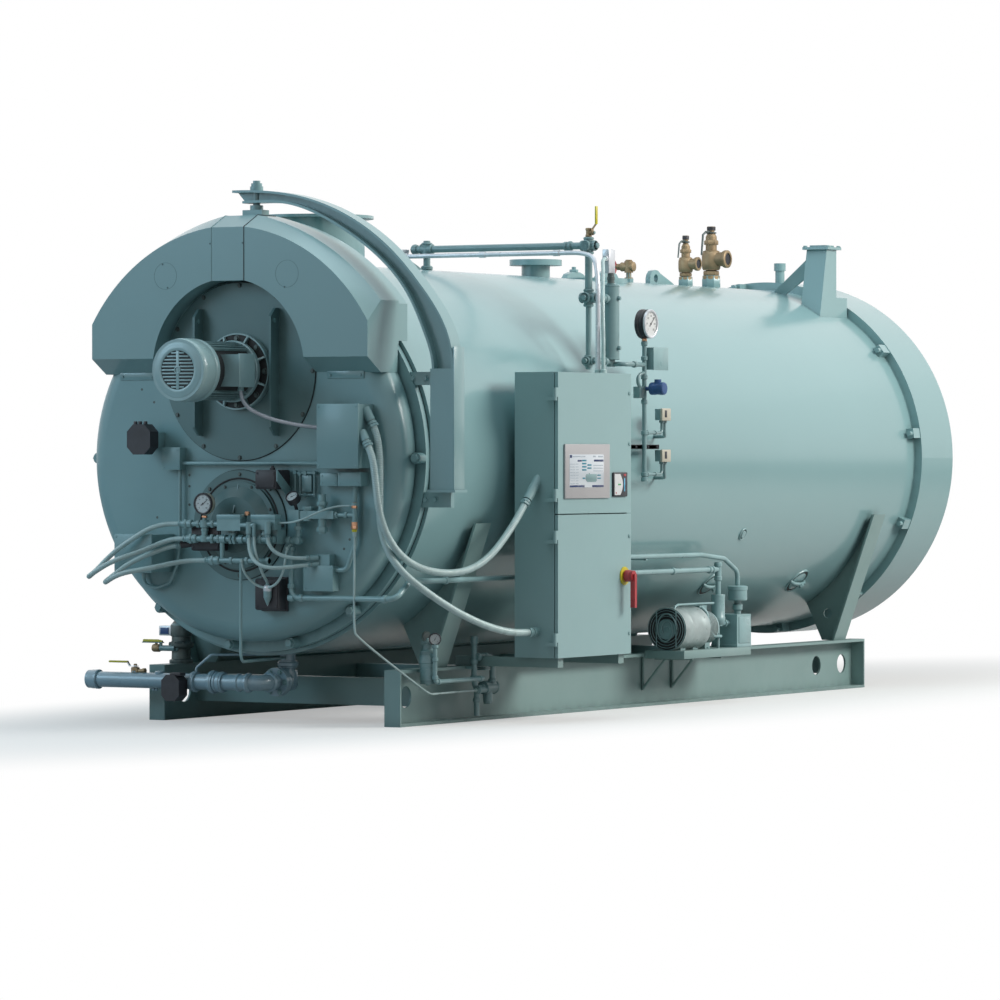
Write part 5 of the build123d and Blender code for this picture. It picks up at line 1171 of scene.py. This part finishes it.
drain.bend([
    (872, 690, 354), (872, 760, 354), (872, 838, 354), (872, 866, 336), (872, 868, 300), (872, 868, 230),
    (872, 866, 192), (872, 840, 174), (872, 760, 174), (872, 690, 174),
], 10, 17, 16)
for p, axis in (
    ((872, 712, 354), Y), ((872, 790, 354), Y), ((872, 868, 306), Z), ((872, 868, 222), Z), ((872, 800, 174), Y),
    ((872, 712, 174), Y),
):
    drain.bead(p, axis, 23, 22)
for z in (296, 286):
    drain.box(840, 900, 745, 800, z - 4, z + 4, 2)
drain.tube([(862, 715, 176), (862, 715, 34)], 16, 16)
drain.bead((862, 715, 120), Z, 21, 26)
drain.done("drain_fittings", PIPE)

# Transmitter caps, scanner plug and the joint lines at the shell's ends

caps = Build().lathe((1204, 2078, 1834), X, [
    (34, 0), (36, 4), (36, 26), (34, 30), (34, 56), (36, 60), (36, 82), (30, 88), (0, 89),
], 32)
caps.done("transmitter_caps", BLUE)
plug = Build()
plug.lathe((*PLUG, 756), -Z, [
    (17, -8), (23, 0), (24, 4), (24, 22), (21, 26), (22, 54), (20, 60), (2, 102), (0, 103),
], 20)
plug.nut((*PLUG, 742), Z, 42, 14)
plug.done("scanner_plug", ALLOY)
seam = Build().lathe((0, 5776, SHELL_Z), Y, [(1067, 0), (1071, 0), (1071, 5), (1067, 5)], 160, closed=True)
seam.done("jacket_seams", BODY)
ring = Build().lathe((0, -84, SHELL_Z), Y, [(1044, -2), (1048, -2), (1048, 2), (1044, 2)], 160, closed=True)
ring.done("front_joint_line", GAP)

# Davit side plate, bolts and clamp nuts

nuts = Build()
nuts.box(1265, 1273, -216, -107, 1275, 2030, 1.5)
for z in (1221, 1865):
    for x in (960, 1040, 1100):
        nuts.bolt((x, -119, z), -Y, 24, 12)
for a in (0, -53, -77, -99, -127, 180):
    t = math.radians(a)
    p = Vector((math.cos(t) * 1020, -191, SHELL_Z + math.sin(t) * 1020))
    nuts.nut(p, -Y, 40, 18)
nuts.done("davit_fasteners", BODY)

# Floor, light and camera

floor = bmesh.new()
bmesh.ops.create_circle(floor, cap_ends=True, segments=96, radius=90.0)
mesh = bpy.data.meshes.new("floor")
floor.to_mesh(mesh)
floor.free()
ground = put("floor", mesh)
ground.location = (0, 2.9, 0)
white = bpy.data.materials.new("floor_white")
white.use_nodes = True
tree = white.node_tree
ray = add(tree, "LightPath", {}).outputs
place = add(tree, "TexCoord", {}).outputs["Object"]
oval = add(tree, "Mapping", {"Vector": place, "Scale": (1.0, 1 / 3.4, 1.0)}).outputs["Vector"]
far = add(tree, "VectorMath", {0: oval}, operation="LENGTH").outputs["Value"]
fade = add(tree, "MapRange", {0: far, 1: 1.3, 2: 2.6, 3: 0.4}, interpolation_type="SMOOTHSTEP").outputs[0]
seen = add(tree, "Math", {0: fade, 1: ray["Is Camera Ray"]}, operation="MULTIPLY").outputs[0]
tones = {6: (0.96, 0.93, 0.9, 1), 7: (0.3, 0.31, 0.32, 1)}
shade = add(tree, "Mix", {0: ray["Is Diffuse Ray"], **tones}, data_type="RGBA").outputs[2]
matt = feed(tree.nodes["Principled BSDF"], {"Base Color": shade, "Roughness": 0.8, "Specular IOR Level": 0.1})
glow = add(tree, "Emission", {"Color": (1, 1, 1, 1)})
blend = add(tree, "MixShader", {0: seen, 1: matt.outputs[0], 2: glow.outputs[0]})
feed(tree.nodes["Material Output"], {"Surface": blend.outputs[0]})
mesh.materials.append(white)

world = bpy.data.worlds.new("studio")
bpy.context.scene.world = world
world.use_nodes = True
tree = world.node_tree
back = feed(tree.nodes["Background"], {"Color": (0.78, 0.93, 1.0, 1), "Strength": 0.17})
plain = add(tree, "Background", {"Color": (1, 1, 1, 1)})
ray = add(tree, "LightPath", {}).outputs
bare = ray["Is Camera Ray"]
for kind in ("Is Transmission Ray", "Is Glossy Ray"):
    bare = add(tree, "Math", {0: bare, 1: ray[kind]}, operation="MAXIMUM").outputs[0]
pick = add(tree, "MixShader", {0: bare, 1: back.outputs[0], 2: plain.outputs[0]})
feed(tree.nodes["World Output"], {"Surface": pick.outputs[0]})


def lamp(name, place, target, size, power, colour):
    data = bpy.data.lights.new(name, "AREA")
    data.shape = "RECTANGLE"
    data.size, data.size_y = size
    data.energy = power
    data.color = colour
    holder = put(name, data)
    holder.location = place
    holder.rotation_euler = (Vector(target) - Vector(place)).to_track_quat("-Z", "Y").to_euler()


lamp("key", (10.5, 6.5, 7.0), (0.8, 2.4, 1.2), (7.0, 4.0), 1150, (1.0, 0.985, 0.95))
lamp("top", (1.0, 0.5, 9.5), (0.3, 1.5, 1.0), (8.0, 9.0), 325, (0.7, 0.89, 1.0))
lamp("front", (-7.0, -8.0, 6.0), (0, 0, 1.5), (6.0, 5.0), 350, (0.49, 0.79, 1.0))
lamp("back", (2.5, 13.5, 7.5), (0.4, 2.0, 1.6), (12.0, 5.0), 30, (1.0, 0.99, 0.97))

eye = bpy.data.cameras.new("camera")
eye.lens = 187.27
eye.sensor_width = 36.0
camera = put("camera", eye)
camera.location = (15.303, -23.7645, 1.4559)
camera.rotation_euler = (math.radians(89.51), 0, math.radians(30.28))
bpy.context.scene.camera = camera
bpy.context.scene.view_settings.view_transform = "Standard"
